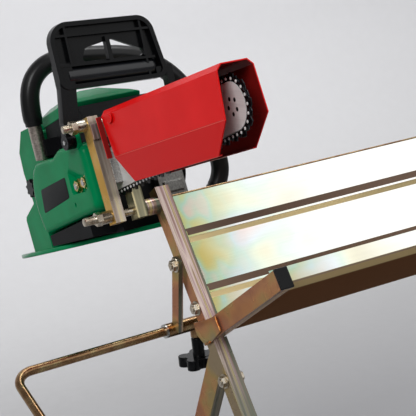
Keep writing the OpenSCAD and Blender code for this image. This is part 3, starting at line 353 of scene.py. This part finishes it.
FINISH = {
    "zinc_steel": TUBE, "bare_steel": STEEL, "red_paint": RED, "black_plastic": BLACK,
    "green_plastic": GREEN, "case_metal": CASE, "handle_tube": ALLOY, "black_rubber": RUBBER,
}
OWN_FINISH = {
    "trough_back_panel": SHEET, "frame_bolts": HARDWARE, "frame_nuts": HARDWARE, "clamp_nuts": HARDWARE,
    "clamp_sleeves": HARDWARE, "clamp_bolts": HARDWARE, "saw_bar_nuts": GILT, "clamp_post_outer": CLAMP_NEAR,
    "clamp_post_inner": CLAMP_FAR, "saw_guide_bar": BAR, "saw_chain": CHAIN, "stop_rod": ROD,
    "stop_sleeve": ROD, "saw_muffler": MUFFLER,
}
# Corner radii in millimetres: drawn tube, folded sheet, moulded housings, small hardware. The left and
# the right end frame share theirs
CORNER_R = {
    "rear_post": 2.0, "front_leg": 2.0, "front_arm": 2.0, "rear_leg": 2.0, "gusset": 0.8, "stop_hanger": 1.0,
    "trough_back_panel": 0.5, "arm_caps": 1.2, "leg_feet": 1.2, "stop_knob": 2.0, "clamp_post_outer": 1.6,
    "clamp_post_inner": 1.6, "clamp_pads": 0.6, "chain_guard": 0.7, "guard_arm": 0.8,
    "guard_pivot_bolts": 0.6, "saw_crankcase": 2.0, "saw_tank": 8.0, "saw_top_cover": 5.0,
    "saw_base_plate": 1.6, "saw_hand_guard": 1.4, "saw_starter_cover": 1.5, "saw_starter_grip": 1.5,
    "saw_rear_handle": 3.0, "saw_throttle_trigger": 1.5, "saw_throttle_lock": 1.5, "saw_fuel_cap": 0.8,
    "saw_oil_cap": 0.8, "saw_muffler": 1.5, "frame_nuts": 0.6, "frame_bolts": 0.6, "clamp_nuts": 0.7,
    "saw_bar_nuts": 0.6,
}
# A solid's seams are welded and its flat faces joined, so that only its real edges are rounded
SEAM_GAP = 0.001
FLAT_ANGLE = 0.5
EDGE_ANGLE = 32
EDGE_STEPS = 3

for part in frame["record"]["subparts"]:
    node = part["node"]
    piece = frame["nodes"][node]
    piece.data.materials.clear()
    piece.data.materials.append(OWN_FINISH.get(node, FINISH[part["material_slot"]]))
    radius = CORNER_R.get(node.removeprefix("left_").removeprefix("right_"))
    if radius:
        piece.modifiers.new("weld", "WELD").merge_threshold = SEAM_GAP * MM
        planar = piece.modifiers.new("planar", "DECIMATE")
        planar.decimate_type = "DISSOLVE"
        planar.angle_limit = math.radians(FLAT_ANGLE)
        edge = piece.modifiers.new("rounded_edges", "BEVEL")
        edge.width = radius * MM
        edge.segments = EDGE_STEPS
        edge.limit_method = "ANGLE"
        edge.angle_limit = math.radians(EDGE_ANGLE)
        edge.harden_normals = True


def loft(work, rings, ends=True):
    """Skins a row of equal rings of points, closes both ends if asked, and gives the rows of vertices."""
    rows = [[work.verts.new(point) for point in ring] for ring in rings]
    for low, high in zip(rows, rows[1:]):
        for i in range(len(low)):
            k = (i + 1) % len(low)
            work.faces.new((low[i], low[k], high[k], high[i]))
    if ends:
        work.faces.new(rows[0][::-1])
        work.faces.new(rows[-1])
    return rows


def hand_over(work, name, material, body, place, sharp_deg=40):
    """Moves a finished mesh into the row frame and makes it a piece of that body."""
    bmesh.ops.transform(work, matrix=place, verts=work.verts)
    bmesh.ops.recalc_face_normals(work, faces=work.faces)
    mesh = bpy.data.meshes.new(name)
    work.to_mesh(mesh)
    work.free()
    mesh.materials.append(material)
    mesh.shade_smooth()
    mesh.set_sharp_from_angle(angle=math.radians(sharp_deg))
    piece = bpy.data.objects.new(name, mesh)
    bpy.context.scene.collection.objects.link(piece)
    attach(piece, body)
    return piece


def ring_x(x, y, z, radius, count=24):
    """A ring of points round an axis along X."""
    turns = [2 * math.pi * i / count for i in range(count)]
    return [Vector((x, y + radius * math.cos(a), z + radius * math.sin(a))) for a in turns]


def section_x(x, outline):
    """An outline of (y, z) points, placed at x."""
    return [Vector((x, *point)) for point in outline]


def smooth_path(points, steps):
    """Catmull-Rom points through the given ones."""
    ends = [2 * points[0] - points[1]] + points + [2 * points[-1] - points[-2]]
    path = []
    for a, b, c, d in zip(ends, ends[1:], ends[2:], ends[3:]):
        for k in range(steps):
            t = k / steps
            bend = (2 * a - 5 * b + 4 * c - d) * t ** 2 + (3 * b - a - 3 * c + d) * t ** 3
            path.append(0.5 * (2 * b + (c - a) * t + bend))
    return path + [points[-1]]


def sweep(path, across, radius_at, count=40):
    """Rings along a flat path; across is the direction square to the path's plane, and radius_at takes the
    share of the path and the angle round it."""
    rings = []
    for i, point in enumerate(path):
        along = (path[min(i + 1, len(path) - 1)] - path[max(i - 1, 0)]).normalized()
        out = along.cross(across).normalized()
        ring = []
        for k in range(count):
            a = 2 * math.pi * k / count
            radius = radius_at(i / (len(path) - 1), a)
            ring.append(point + radius * (math.cos(a) * out + math.sin(a) * across))
        rings.append(ring)
    return rings


def with_neighbours(ring):
    """Each point of a closed line, between the one before it and the one after it."""
    return zip(ring[-1:] + ring[:-1], ring, ring[1:] + ring[:1])


def rounded_corner(before, corner, after, cut, count):
    """Points of a curve that rounds a corner and begins and ends at cut from it."""
    back, on = (before - corner).normalized(), (after - corner).normalized()
    shares = [k / (count - 1) for k in range(count)]
    return [corner + back * cut * (1 - t) ** 2 + on * cut * t ** 2 for t in shares]


def bent_line(corners, radius):
    """A folded line: the corners are rounded with the bend radius."""
    line = [corners[0]]
    for before, corner, after in zip(corners, corners[1:], corners[2:]):
        cut = radius / math.tan((before - corner).angle(after - corner) / 2)
        line += rounded_corner(before, corner, after, cut, 7)
    return line + [corners[-1]]


def bent_ring(corners, radius):
    """A closed line of (y, z) corners, rounded as far as its sides allow."""
    corners = [Vector(corner) for corner in corners]
    ring = []
    for before, corner, after in with_neighbours(corners):
        back, on = before - corner, after - corner
        cut = min(radius / math.tan(back.angle(on) / 2), 0.45 * back.length, 0.45 * on.length)
        ring += rounded_corner(before, corner, after, cut, 6)
    return ring


# Front handle: bent alloy tube in its leaning plane, with a ribbed rubber sleeve over its upper run
HANDLE_POINTS = [
    (-18, 7), (-20, 30), (-22, 55), (-23, 78), (-20, 101), (-11, 119), (5, 132), (25, 138), (48, 139),
    (72, 137), (98, 134), (126, 130), (156, 121), (182, 106), (207, 84), (230, 52), (246, 16), (256, -20),
    (261, -50), (259, -70), (248, -88), (228, -97), (200, -96), (168, -84), (138, -70), (112, -61), (98, -60),
]
HANDLE_STEPS = 6
HANDLE_R = 9.5
GRIP_FROM = 2.0
GRIP_TO = 20.5
GRIP_R = 13.4
GRIP_RIBS = 10
GRIP_RIB_DEPTH = 0.35
# Shares of the sleeve's length at each end: the narrow lip, and the run that has no ribs yet
GRIP_LIP = 0.015
GRIP_LIP_R = 0.9 * GRIP_R
GRIP_PLAIN = 0.04


def front_handle():
    """The handle's tube and the sleeve on it."""
    line = smooth_path([Vector((x, 0.0, z)) for x, z in HANDLE_POINTS], HANDLE_STEPS)
    across = Vector((0.0, 1.0, 0.0))
    work = bmesh.new()
    loft(work, sweep(line, across, lambda share, angle: HANDLE_R))
    tube = hand_over(work, "front_handle_tube", ALLOY, "saw", HANDLE)
    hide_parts("saw_front_handle")

    def sleeve(share, angle):
        from_end = min(share, 1 - share)
        if from_end < GRIP_LIP:
            return GRIP_LIP_R
        if from_end <= GRIP_PLAIN:
            return GRIP_R
        return GRIP_R - GRIP_RIB_DEPTH * max(0.0, math.cos(GRIP_RIBS * angle))
    work = bmesh.new()
    gripped = line[int(GRIP_FROM * HANDLE_STEPS):int(GRIP_TO * HANDLE_STEPS)]
    loft(work, sweep(gripped, across, sleeve))
    grip = hand_over(work, "front_handle_grip", RUBBER, "saw", HANDLE)
    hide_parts("saw_front_grip")


# Clamp bolts' threads: a name, the tip's x and the bolt's height
CLAMP_THREADS = (("upper_clamp_thread", -60.4, 61.0), ("lower_clamp_thread", -66.4, -59.0))
CLAMP_BOLT_R = 5.0
THREAD_END = -50.0
THREAD_PITCH = 1.75
THREAD_DEPTH = 0.7
THREAD_SIDES = 36
TIP_CHAMFER = 1.5
TIP_SHARE = 0.8


def thread_sleeve(name, tip_x, z):
    """Rolled thread on a clamp bolt's end, with a chamfered tip."""
    rings = []
    length = THREAD_END - tip_x
    steps = int(6 * length / THREAD_PITCH)
    for i in range(steps + 1):
        x = tip_x + length * i / steps
        tip = min(1.0, TIP_SHARE + (1 - TIP_SHARE) * (x - tip_x) / TIP_CHAMFER)
        ring = []
        for k in range(THREAD_SIDES):
            a = 2 * math.pi * k / THREAD_SIDES
            ridge = abs(((x / THREAD_PITCH - k / THREAD_SIDES) % 1.0) * 2 - 1)
            r = tip * (CLAMP_BOLT_R + THREAD_DEPTH * (ridge - 0.5))
            ring.append(Vector((x, r * math.cos(a), z + r * math.sin(a))))
        rings.append(ring)
    work = bmesh.new()
    loft(work, rings)
    hand_over(work, name, HARDWARE, "saw", SAW, 60)


# Washers: each one's height up the post, and the x of the wall that it lies on
WASHER_SEATS = ((102.0, -27.0), (41.0, -20.0), (-58.0, -20.0))
WASHER_R = 9.6
WASHER_T = 1.4
WASHER_RIM = 0.4
POST_MIDDLE = 10.0


def frame_washers():
    """Stamped washers with rounded rims under the left end frame's nuts."""
    work = bmesh.new()
    for up, wall in WASHER_SEATS:
        profile = ((0.0, WASHER_R), (0.7 * WASHER_T, WASHER_R), (WASHER_T, WASHER_R - WASHER_RIM))
        loft(work, [ring_x(wall - out, POST_MIDDLE, up, r) for out, r in profile])
    hand_over(work, "frame_washers", HARDWARE, "stand", POST)


# Weld beads on the left end frame: a name, both ends, a radius and the direction across the bead
WELDS = (
    ("gusset_weld", (-22.4, -30.5, -3.5), (-22.4, -30.5, 17.0), 1.7, (1, 0, 0)),
    ("arm_weld", (-20.0, -0.6, 19.9), (-3.0, -0.6, 19.9), 1.8, (0, 1, 0)),
    ("leg_weld", (-23.0, 2.0, -6.6), (-23.0, 19.0, -5.2), 1.8, (1, 0, 0)),
)
BEAD_STEP = 0.7
BEAD_RIPPLE = 2.0


def weld_bead(name, first, last, radius, across):
    """A hand-laid bead: overlapping ripples along the joint, tapered at both ends."""
    first, last = Vector(first), Vector(last)
    count = int((last - first).length / BEAD_STEP)
    path = [first.lerp(last, k / count) for k in range(count)] + [last]

    def ripple(share, angle):
        taper = min(1.0, 0.35 + 12 * min(share, 1 - share))
        wave = abs(math.sin(math.pi * share * len(path) * BEAD_STEP / BEAD_RIPPLE))
        return radius * taper * (0.86 + 0.14 * wave)
    work = bmesh.new()
    loft(work, sweep(path, Vector(across), ripple))
    hand_over(work, name, WELD, "stand", POST)


# Chain guard: its rear edge from the top to the lower fold, the flange bent from it, and the lower fold
GUARD_REAR_TOP = (23.6, 29.0, 6.0)
GUARD_REAR_LOW = (31.0, 8.0, -48.0)
FLANGE_OUT = (6.0, 1.6, 0.0)
FLANGE_BACK = (0.0, 1.4, 0.3)
GUARD_FOLD_X = 27.5
GUARD_FOLD_Z = -47.6
GUARD_FOLD_Y = (7.0, -90.0, -180.0, -272.5)
GUARD_FOLD_R = 0.9


def guard_flange():
    """Outward bent strip along the chain guard's rear edge, on each side."""
    work = bmesh.new()
    for side in (-1, 1):
        top, low, out, back = (
            Vector((side * x, y, z)) for x, y, z in (GUARD_REAR_TOP, GUARD_REAR_LOW, FLANGE_OUT, FLANGE_BACK))
        edge = [top.lerp(low, share) for share in (0.0, 0.5, 1.0)]
        loft(work, [[point, point + out, point + out + back, point + back] for point in edge])
    hand_over(work, "guard_rear_flange", RED, "guard", GUARD, 20)


def guard_folds():
    """Rounded outer edge of the fold along each side wall of the chain guard, in lighter red: a painted
    highlight.
    """
    work = bmesh.new()
    for side in (-1, 1):
        fold = [Vector((side * GUARD_FOLD_X, y, GUARD_FOLD_Z)) for y in GUARD_FOLD_Y]
        loft(work, sweep(fold, Vector((side, 0, 0)), lambda share, angle: GUARD_FOLD_R))
    hand_over(work, "guard_folds", RED_FOLD_HIGHLIGHT, "guard", GUARD)


# Trough: one front sheet with a slanted step and a lip, two pressed grooves and a hem in the back wall
TROUGH_LENGTH = 900.0
SHEET_T = 1.5
FRONT_WALL = 150.0
FRONT_STEP = 7.8
FRONT_LIP = 20.0
FRONT_BEND_R = 5.0
FRONT_OVERHANG = 3.0
GROOVES_UP = (133.0, 56.0)
VALLEY_DEPTH = (4.3, 4.7)
VALLEY_HALF = (1.3, 1.0)
VALLEY_GAP = 1.0
HEM_PLACE = (0.9, 189.6)
HEM_R = 1.5


def stations(first, last, step):
    """Places along the trough, from first to last, with every step between."""
    return [first, *range(step, int(TROUGH_LENGTH), step), last]


def front_panel():
    """Trough's front wall in one bent sheet: wall, slanted step and upright lip."""
    outside = -FRONT_WALL - FRONT_STEP
    outer = bent_line([
        Vector((-SHEET_T, 0.0)), Vector((-FRONT_WALL, 0.0)),
        Vector((outside, FRONT_STEP)), Vector((outside, FRONT_STEP + FRONT_LIP)),
    ], FRONT_BEND_R)
    inner = []
    for i, point in enumerate(outer):
        along = (outer[min(i + 1, len(outer) - 1)] - outer[max(i - 1, 0)]).normalized()
        inner.append(point + SHEET_T * Vector((along.y, -along.x)))
    sheet = outer + inner[::-1]
    work = bmesh.new()
    places = stations(-FRONT_OVERHANG, TROUGH_LENGTH + FRONT_OVERHANG, 150)
    loft(work, [section_x(x, sheet) for x in places])
    panel = hand_over(work, "front_panel_sheet", SHEET, "stand", POST, 50)
    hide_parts("trough_front_panel")


def back_panel_bends():
    """Flattened valleys of the two pressed grooves, and the rolled hem along the back wall's top."""
    (mouth, floor), (wide, narrow) = VALLEY_DEPTH, VALLEY_HALF
    work = bmesh.new()
    for up in GROOVES_UP:
        valley = [(mouth, up - wide), (mouth, up + wide), (floor, up + narrow), (floor, up - narrow)]
        loft(work, [section_x(x, valley) for x in stations(VALLEY_GAP, TROUGH_LENGTH - VALLEY_GAP, 300)])
    hand_over(work, "groove_valleys", SHEET, "stand", POST, 20)
    work = bmesh.new()
    hem = [Vector((x, *HEM_PLACE)) for x in stations(0.0, TROUGH_LENGTH, 300)]
    loft(work, sweep(hem, Vector((0, 1, 0)), lambda share, angle: HEM_R))
    hand_over(work, "back_panel_hem", ROD, "stand", POST)


# Saw chain's line round the bar's nose and the sprocket, and (x, radius) profiles of the rivets and of the
# nose holes' shade discs
BAR_REACH = 318.0
BAR_TAPER = 36.0
SPROCKET_Y = 122.0
NOSE_R = 28.0
SPROCKET_R = 18.0
RIVET_PITCH = 9.5
RIVET_OUT = 2.4
RIVET = ((2.0, 1.9), (2.5, 1.7), (2.8, 0.9))
NOSE_HOLES = 5
NOSE_HOLES_R = 9.0
NOSE_HOLE_DISC = ((2.1, 2.5), (2.4, 2.5), (2.5, 2.2))


def chain_rivets():
    """Bright rivet heads on both sides of the chain, and dark discs in the bar nose's holes: painted shade.
    """
    lead, rail = SPROCKET_Y - BAR_TAPER, BAR_TAPER + BAR_REACH
    nose, tail = math.pi * NOSE_R, math.pi * SPROCKET_R
    total = 2 * (lead + rail) + nose + tail
    count = 2 * round(total / RIVET_PITCH / 2)

    def upper_run(s):
        if s < lead:
            return SPROCKET_Y - s, SPROCKET_R + RIVET_OUT + (NOSE_R - SPROCKET_R) * s / lead
        return BAR_TAPER - (s - lead), NOSE_R + RIVET_OUT

    def chain_line(s):
        if s < lead + rail:
            return upper_run(s)
        if s < lead + rail + nose:
            a = math.pi * (0.5 + (s - lead - rail) / nose)
            return -BAR_REACH + (NOSE_R + RIVET_OUT) * math.cos(a), (NOSE_R + RIVET_OUT) * math.sin(a)
        if s < total - tail:
            y, z = upper_run(total - tail - s)
            return y, -z
        a = math.pi * (-0.5 + (s - total + tail) / tail)
        return SPROCKET_Y + (SPROCKET_R + RIVET_OUT) * math.cos(a), (SPROCKET_R + RIVET_OUT) * math.sin(a)

    def disc_pair(work, y, z, profile, sides):
        for side in (-1, 1):
            loft(work, [ring_x(side * x, y, z, r, sides) for x, r in profile])
    work = bmesh.new()
    for i in range(count):
        disc_pair(work, *chain_line((i + 0.5) * total / count), RIVET, 12)
    hand_over(work, "chain_rivets", BAR, "saw", SAW)
    # Dark discs in the nose's holes: painted shade
    work = bmesh.new()
    for i in range(NOSE_HOLES):
        a = 2 * math.pi * i / NOSE_HOLES
        y, z = -BAR_REACH + NOSE_HOLES_R * math.cos(a), NOSE_HOLES_R * math.sin(a)
        disc_pair(work, y, z, NOSE_HOLE_DISC, 16)
    hand_over(work, "bar_nose_hole_shade", CHAIN, "saw", SAW)


# Sprocket cover: (y, z) corners, the crowned rim's (inset, x) steps and the flat face's x
COVER_FACE = -33.0
COVER_OUTLINE = (
    (20, -46), (20, 42), (60, 49), (100, 53), (124, 47), (160, 51),
    (184, 52), (198, 46), (210, 31), (218, 11), (218, -15), (211, -46),
)
COVER_CORNER_R = 14.0
COVER_CROWN = ((0.0, -6.0), (0.0, -22.0), (0.8, -27.0), (2.6, -30.4), (5.5, -32.4), (9.0, COVER_FACE))
POCKET_MOUTH = ((33, -12), (33, 10.5), (75, 22), (82, 17), (84, -13), (42, -17))
POCKET_SEAT = ((35, -10), (36, 2), (76, 9.5), (81, 8), (82, -12), (43, -15))
POCKET_CORNER_R = 3.0
POCKET_DEPTH = 9.0
SCREW_HOLE = (84.0, -27.0)
SCREW_HOLE_R = 3.0
SCREW_HOLE_DEPTH = 4.0
PIN_LUG = ((26, 38), (26, 58), (46, 58), (54, 38))
PIN_LUG_CORNER_R = 5.0
PIN_LUG_STEPS = (-27.0, -32.2, COVER_FACE)


def sprocket_cover():
    """Moulded sprocket cover: crowned rim, flat face, sloping pocket round the bar nuts, screw hole and
    the lug that carries the hand guard's pin."""
    outline = bent_ring(COVER_OUTLINE, COVER_CORNER_R)
    rings = []
    for inset, x in COVER_CROWN:
        ring = []
        for before, point, after in with_neighbours(outline):
            along = (after - before).normalized()
            ring.append(point + inset * Vector((along.y, -along.x)))
        rings.append(section_x(x, ring))
    work = bmesh.new()
    crown = loft(work, rings, ends=False)
    work.faces.new(crown[0][::-1])
    mouth = section_x(COVER_FACE, bent_ring(POCKET_MOUTH, POCKET_CORNER_R))
    seat = section_x(COVER_FACE + POCKET_DEPTH, bent_ring(POCKET_SEAT, POCKET_CORNER_R))
    pocket = loft(work, [mouth, seat], ends=False)
    work.faces.new(pocket[1])
    hole_ends = (COVER_FACE, COVER_FACE + SCREW_HOLE_DEPTH)
    hole = loft(work, [ring_x(x, *SCREW_HOLE, SCREW_HOLE_R, 16) for x in hole_ends], ends=False)
    work.faces.new(hole[1])
    rims = (crown[-1], pocket[0], hole[0])
    edges = [work.edges.get((rim[i - 1], rim[i])) for rim in rims for i in range(len(rim))]
    bmesh.ops.triangle_fill(work, use_beauty=True, edges=edges)
    lug = bent_ring(PIN_LUG, PIN_LUG_CORNER_R)
    loft(work, [section_x(x, lug) for x in PIN_LUG_STEPS])
    cover = hand_over(work, "sprocket_cover_shell", GREEN, "saw", SAW)
    cover.modifiers.new("face_weighted", "WEIGHTED_NORMAL").keep_sharp = True
    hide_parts("saw_sprocket_cover")


# Hand guard's lower band: its ends in x, its lower and upper edge in z at the near end, and their slopes.
# At the far end both edges draw in
BAND_NEAR = -22.0
BAND_FAR = 108.0
BAND_LOW = 70.23
BAND_LOW_SLOPE = 0.045
BAND_HIGH = 94.14
BAND_HIGH_SLOPE = 0.06
BAND_ROUNDING = 9.0
BAND_LOW_RISE = 7.0
BAND_HIGH_FALL = 2.0
BAND_BACK = -1.0
BAND_SKIN = -2.2
BAND_BULGE = 7.0
BAND_STEPS = 32
BAND_SIDES = 12


def hand_guard_band():
    """Convex lower band of the hand guard's shield, between its rim and its lower rib, rounded at its far
    end."""
    rings = []
    for k in range(BAND_STEPS + 1):
        along = (BAND_FAR - BAND_NEAR) * k / BAND_STEPS
        x = BAND_NEAR + along
        end = max(0.0, 1.0 - (BAND_FAR - x) / BAND_ROUNDING)
        low = BAND_LOW - BAND_LOW_SLOPE * along + BAND_LOW_RISE * end ** 2
        high = BAND_HIGH - BAND_HIGH_SLOPE * along - BAND_HIGH_FALL * end ** 2
        bulge = BAND_BULGE * math.sqrt(1.0 - 0.9 * end ** 2)
        ring = [Vector((x, BAND_BACK, low)), Vector((x, BAND_BACK, high))]
        for i in range(BAND_SIDES + 1):
            share = i / BAND_SIDES
            y = BAND_SKIN - bulge * math.sin(math.pi * share) ** 0.5
            ring.append(Vector((x, y, high + (low - high) * share)))
        rings.append(ring)
    work = bmesh.new()
    loft(work, rings)
    hand_over(work, "hand_guard_band", POLISHED, "hand_guard", SHIELD, 60)


# Vinyl plate on the sprocket cover: (y, z) corners, and its edge's (lift, size) steps
LABEL_CORNERS = ((183.0, 14.0), (94.0, 13.6), (96.5, -14.4), (191.0, -18.0))
LABEL_CORNER_CUT = 4.0
LABEL_EDGE = ((-0.1, 1.0), (0.25, 1.0), (0.35, 0.985))


def label_plate():
    """Plain charcoal vinyl plate on the sprocket cover's face."""
    corners = [Vector(corner) for corner in LABEL_CORNERS]
    middle = sum(corners, Vector((0.0, 0.0))) / len(corners)
    outline = []
    for before, corner, after in with_neighbours(corners):
        outline += rounded_corner(before, corner, after, LABEL_CORNER_CUT, 5)
    rings = []
    for lift, size in LABEL_EDGE:
        rings.append(section_x(COVER_FACE - lift, [middle + size * (point - middle) for point in outline]))
    work = bmesh.new()
    loft(work, rings)
    hand_over(work, "cover_label", VINYL, "saw", SAW)


front_handle()
for thread in CLAMP_THREADS:
    thread_sleeve(*thread)
frame_washers()
for bead in WELDS:
    weld_bead(*bead)
front_panel()
back_panel_bends()
guard_flange()
guard_folds()
chain_rivets()
sprocket_cover()
hand_guard_band()
label_plate()

# Floor and backdrop, in metres
FLOOR_HALF_WIDTH = 14.0
FLOOR_FRONT = -4.0
FLOOR_BACK = 1.6
FLOOR_STEPS = 7
COVE_R = 0.8
COVE_STEPS = 8
WALL_STEP = 0.7
WALL_STEPS = 6
SHADE_WAY = (0.12, -1.0, -0.15)
SHADE_FROM = -2.4
SHADE_TO = -0.6


def plain_stage():
    """Pale grey floor that runs up into a backdrop far behind, painted darker towards the front right:
    painted shade.
    """
    depth = FLOOR_BACK - FLOOR_FRONT
    profile = [(FLOOR_FRONT + depth * k / FLOOR_STEPS, 0.0) for k in range(FLOOR_STEPS + 1)]
    for k in range(1, COVE_STEPS):
        angle = math.radians(90 * k / COVE_STEPS)
        profile.append((FLOOR_BACK + COVE_R * math.sin(angle), COVE_R - COVE_R * math.cos(angle)))
    profile += [(FLOOR_BACK + COVE_R, COVE_R + WALL_STEP * k) for k in range(1, WALL_STEPS + 1)]
    work = bmesh.new()
    rows = [[work.verts.new((x, y, z)) for x in (-FLOOR_HALF_WIDTH, FLOOR_HALF_WIDTH)] for y, z in profile]
    for low, high in zip(rows, rows[1:]):
        work.faces.new((low[0], low[1], high[1], high[0]))
    mesh = bpy.data.meshes.new("floor")
    work.to_mesh(mesh)
    work.free()
    mesh.shade_smooth()
    floor = bpy.data.objects.new("floor", mesh)
    bpy.context.scene.collection.objects.link(floor)
    material, tree, shader, place = start("pale_wall_paint")
    plaster = stretched(tree, place, (30, 30, 30), 4.0)
    # Painted shade: darker towards the front and the right
    along = add(tree, "ShaderNodeVectorMath", "Value", {0: place, 1: SHADE_WAY}, operation="DOT_PRODUCT")
    shade = add(tree, "ShaderNodeMapRange", "Result", {
        "Value": along, "From Min": SHADE_FROM, "From Max": SHADE_TO,
    })
    mottle_and_shade = add(tree, "ShaderNodeMath", "Value", {0: plaster, 1: 0.06, 2: shade}, operation="MULTIPLY_ADD")
    tone = add(tree, "ShaderNodeValToRGB", "Color", {"Fac": mottle_and_shade}, stops=[
        (0.03, "#eeeef0"), (0.36, "#d6d6d7"), (0.68, "#b6b6b7"), (0.98, "#a3a3a5"),
    ])
    feed(tree, shader, {"Base Color": tone, "Roughness": 0.9})
    # The backdrop has no rear side, so that it hides nothing from behind
    behind = add(tree, "ShaderNodeNewGeometry", "Backfacing")
    clear = add(tree, "ShaderNodeBsdfTransparent", "BSDF")
    paint = add(tree, "ShaderNodeMixShader", "Shader", {"Fac": behind, 1: shader.outputs["BSDF"], 2: clear})
    feed(tree, tree.nodes["Material Output"], {"Surface": paint})
    mesh.materials.append(material)


def lamp(name, place, aim, size, power):
    """A square white softbox at place, turned to its aim."""
    data = bpy.data.lights.new(name, "AREA")
    data.shape = "SQUARE"
    data.size = size
    data.energy = power
    light = bpy.data.objects.new(name, data)
    light.location = place
    light.rotation_euler = (Vector(aim) - Vector(place)).to_track_quat("-Z", "Y").to_euler()
    bpy.context.scene.collection.objects.link(light)


plain_stage()
lamp("trough_softbox", (1.5, -1.9, 2.5), (0.1, 0.0, 0.7), 2.6, 21)
lamp("saw_softbox", (-2.2, -1.4, 2.6), (-0.3, 0.0, 0.7), 1.4, 54)
lamp("wall_lamp", (1.1, 0.6, 3.4), (1.6, 2.4, 1.0), 1.6, 56)

# Studio walls out of view: a dim fill on the object, and pale where the camera sees past the backdrop
FILL_STRENGTH = 0.32
SEEN_STRENGTH = 0.85

world = bpy.data.worlds.new("studio")
world.use_nodes = True
studio = world.node_tree
seen = add(studio, "ShaderNodeLightPath", "Is Camera Ray")
strength = add(studio, "ShaderNodeMapRange", "Result", {
    "Value": seen, "To Min": FILL_STRENGTH, "To Max": SEEN_STRENGTH,
})
feed(studio, studio.nodes["Background"], {"Color": linear("#e9e9ec"), "Strength": strength})
bpy.context.scene.world = world
bpy.context.scene.view_settings.view_transform = "Standard"
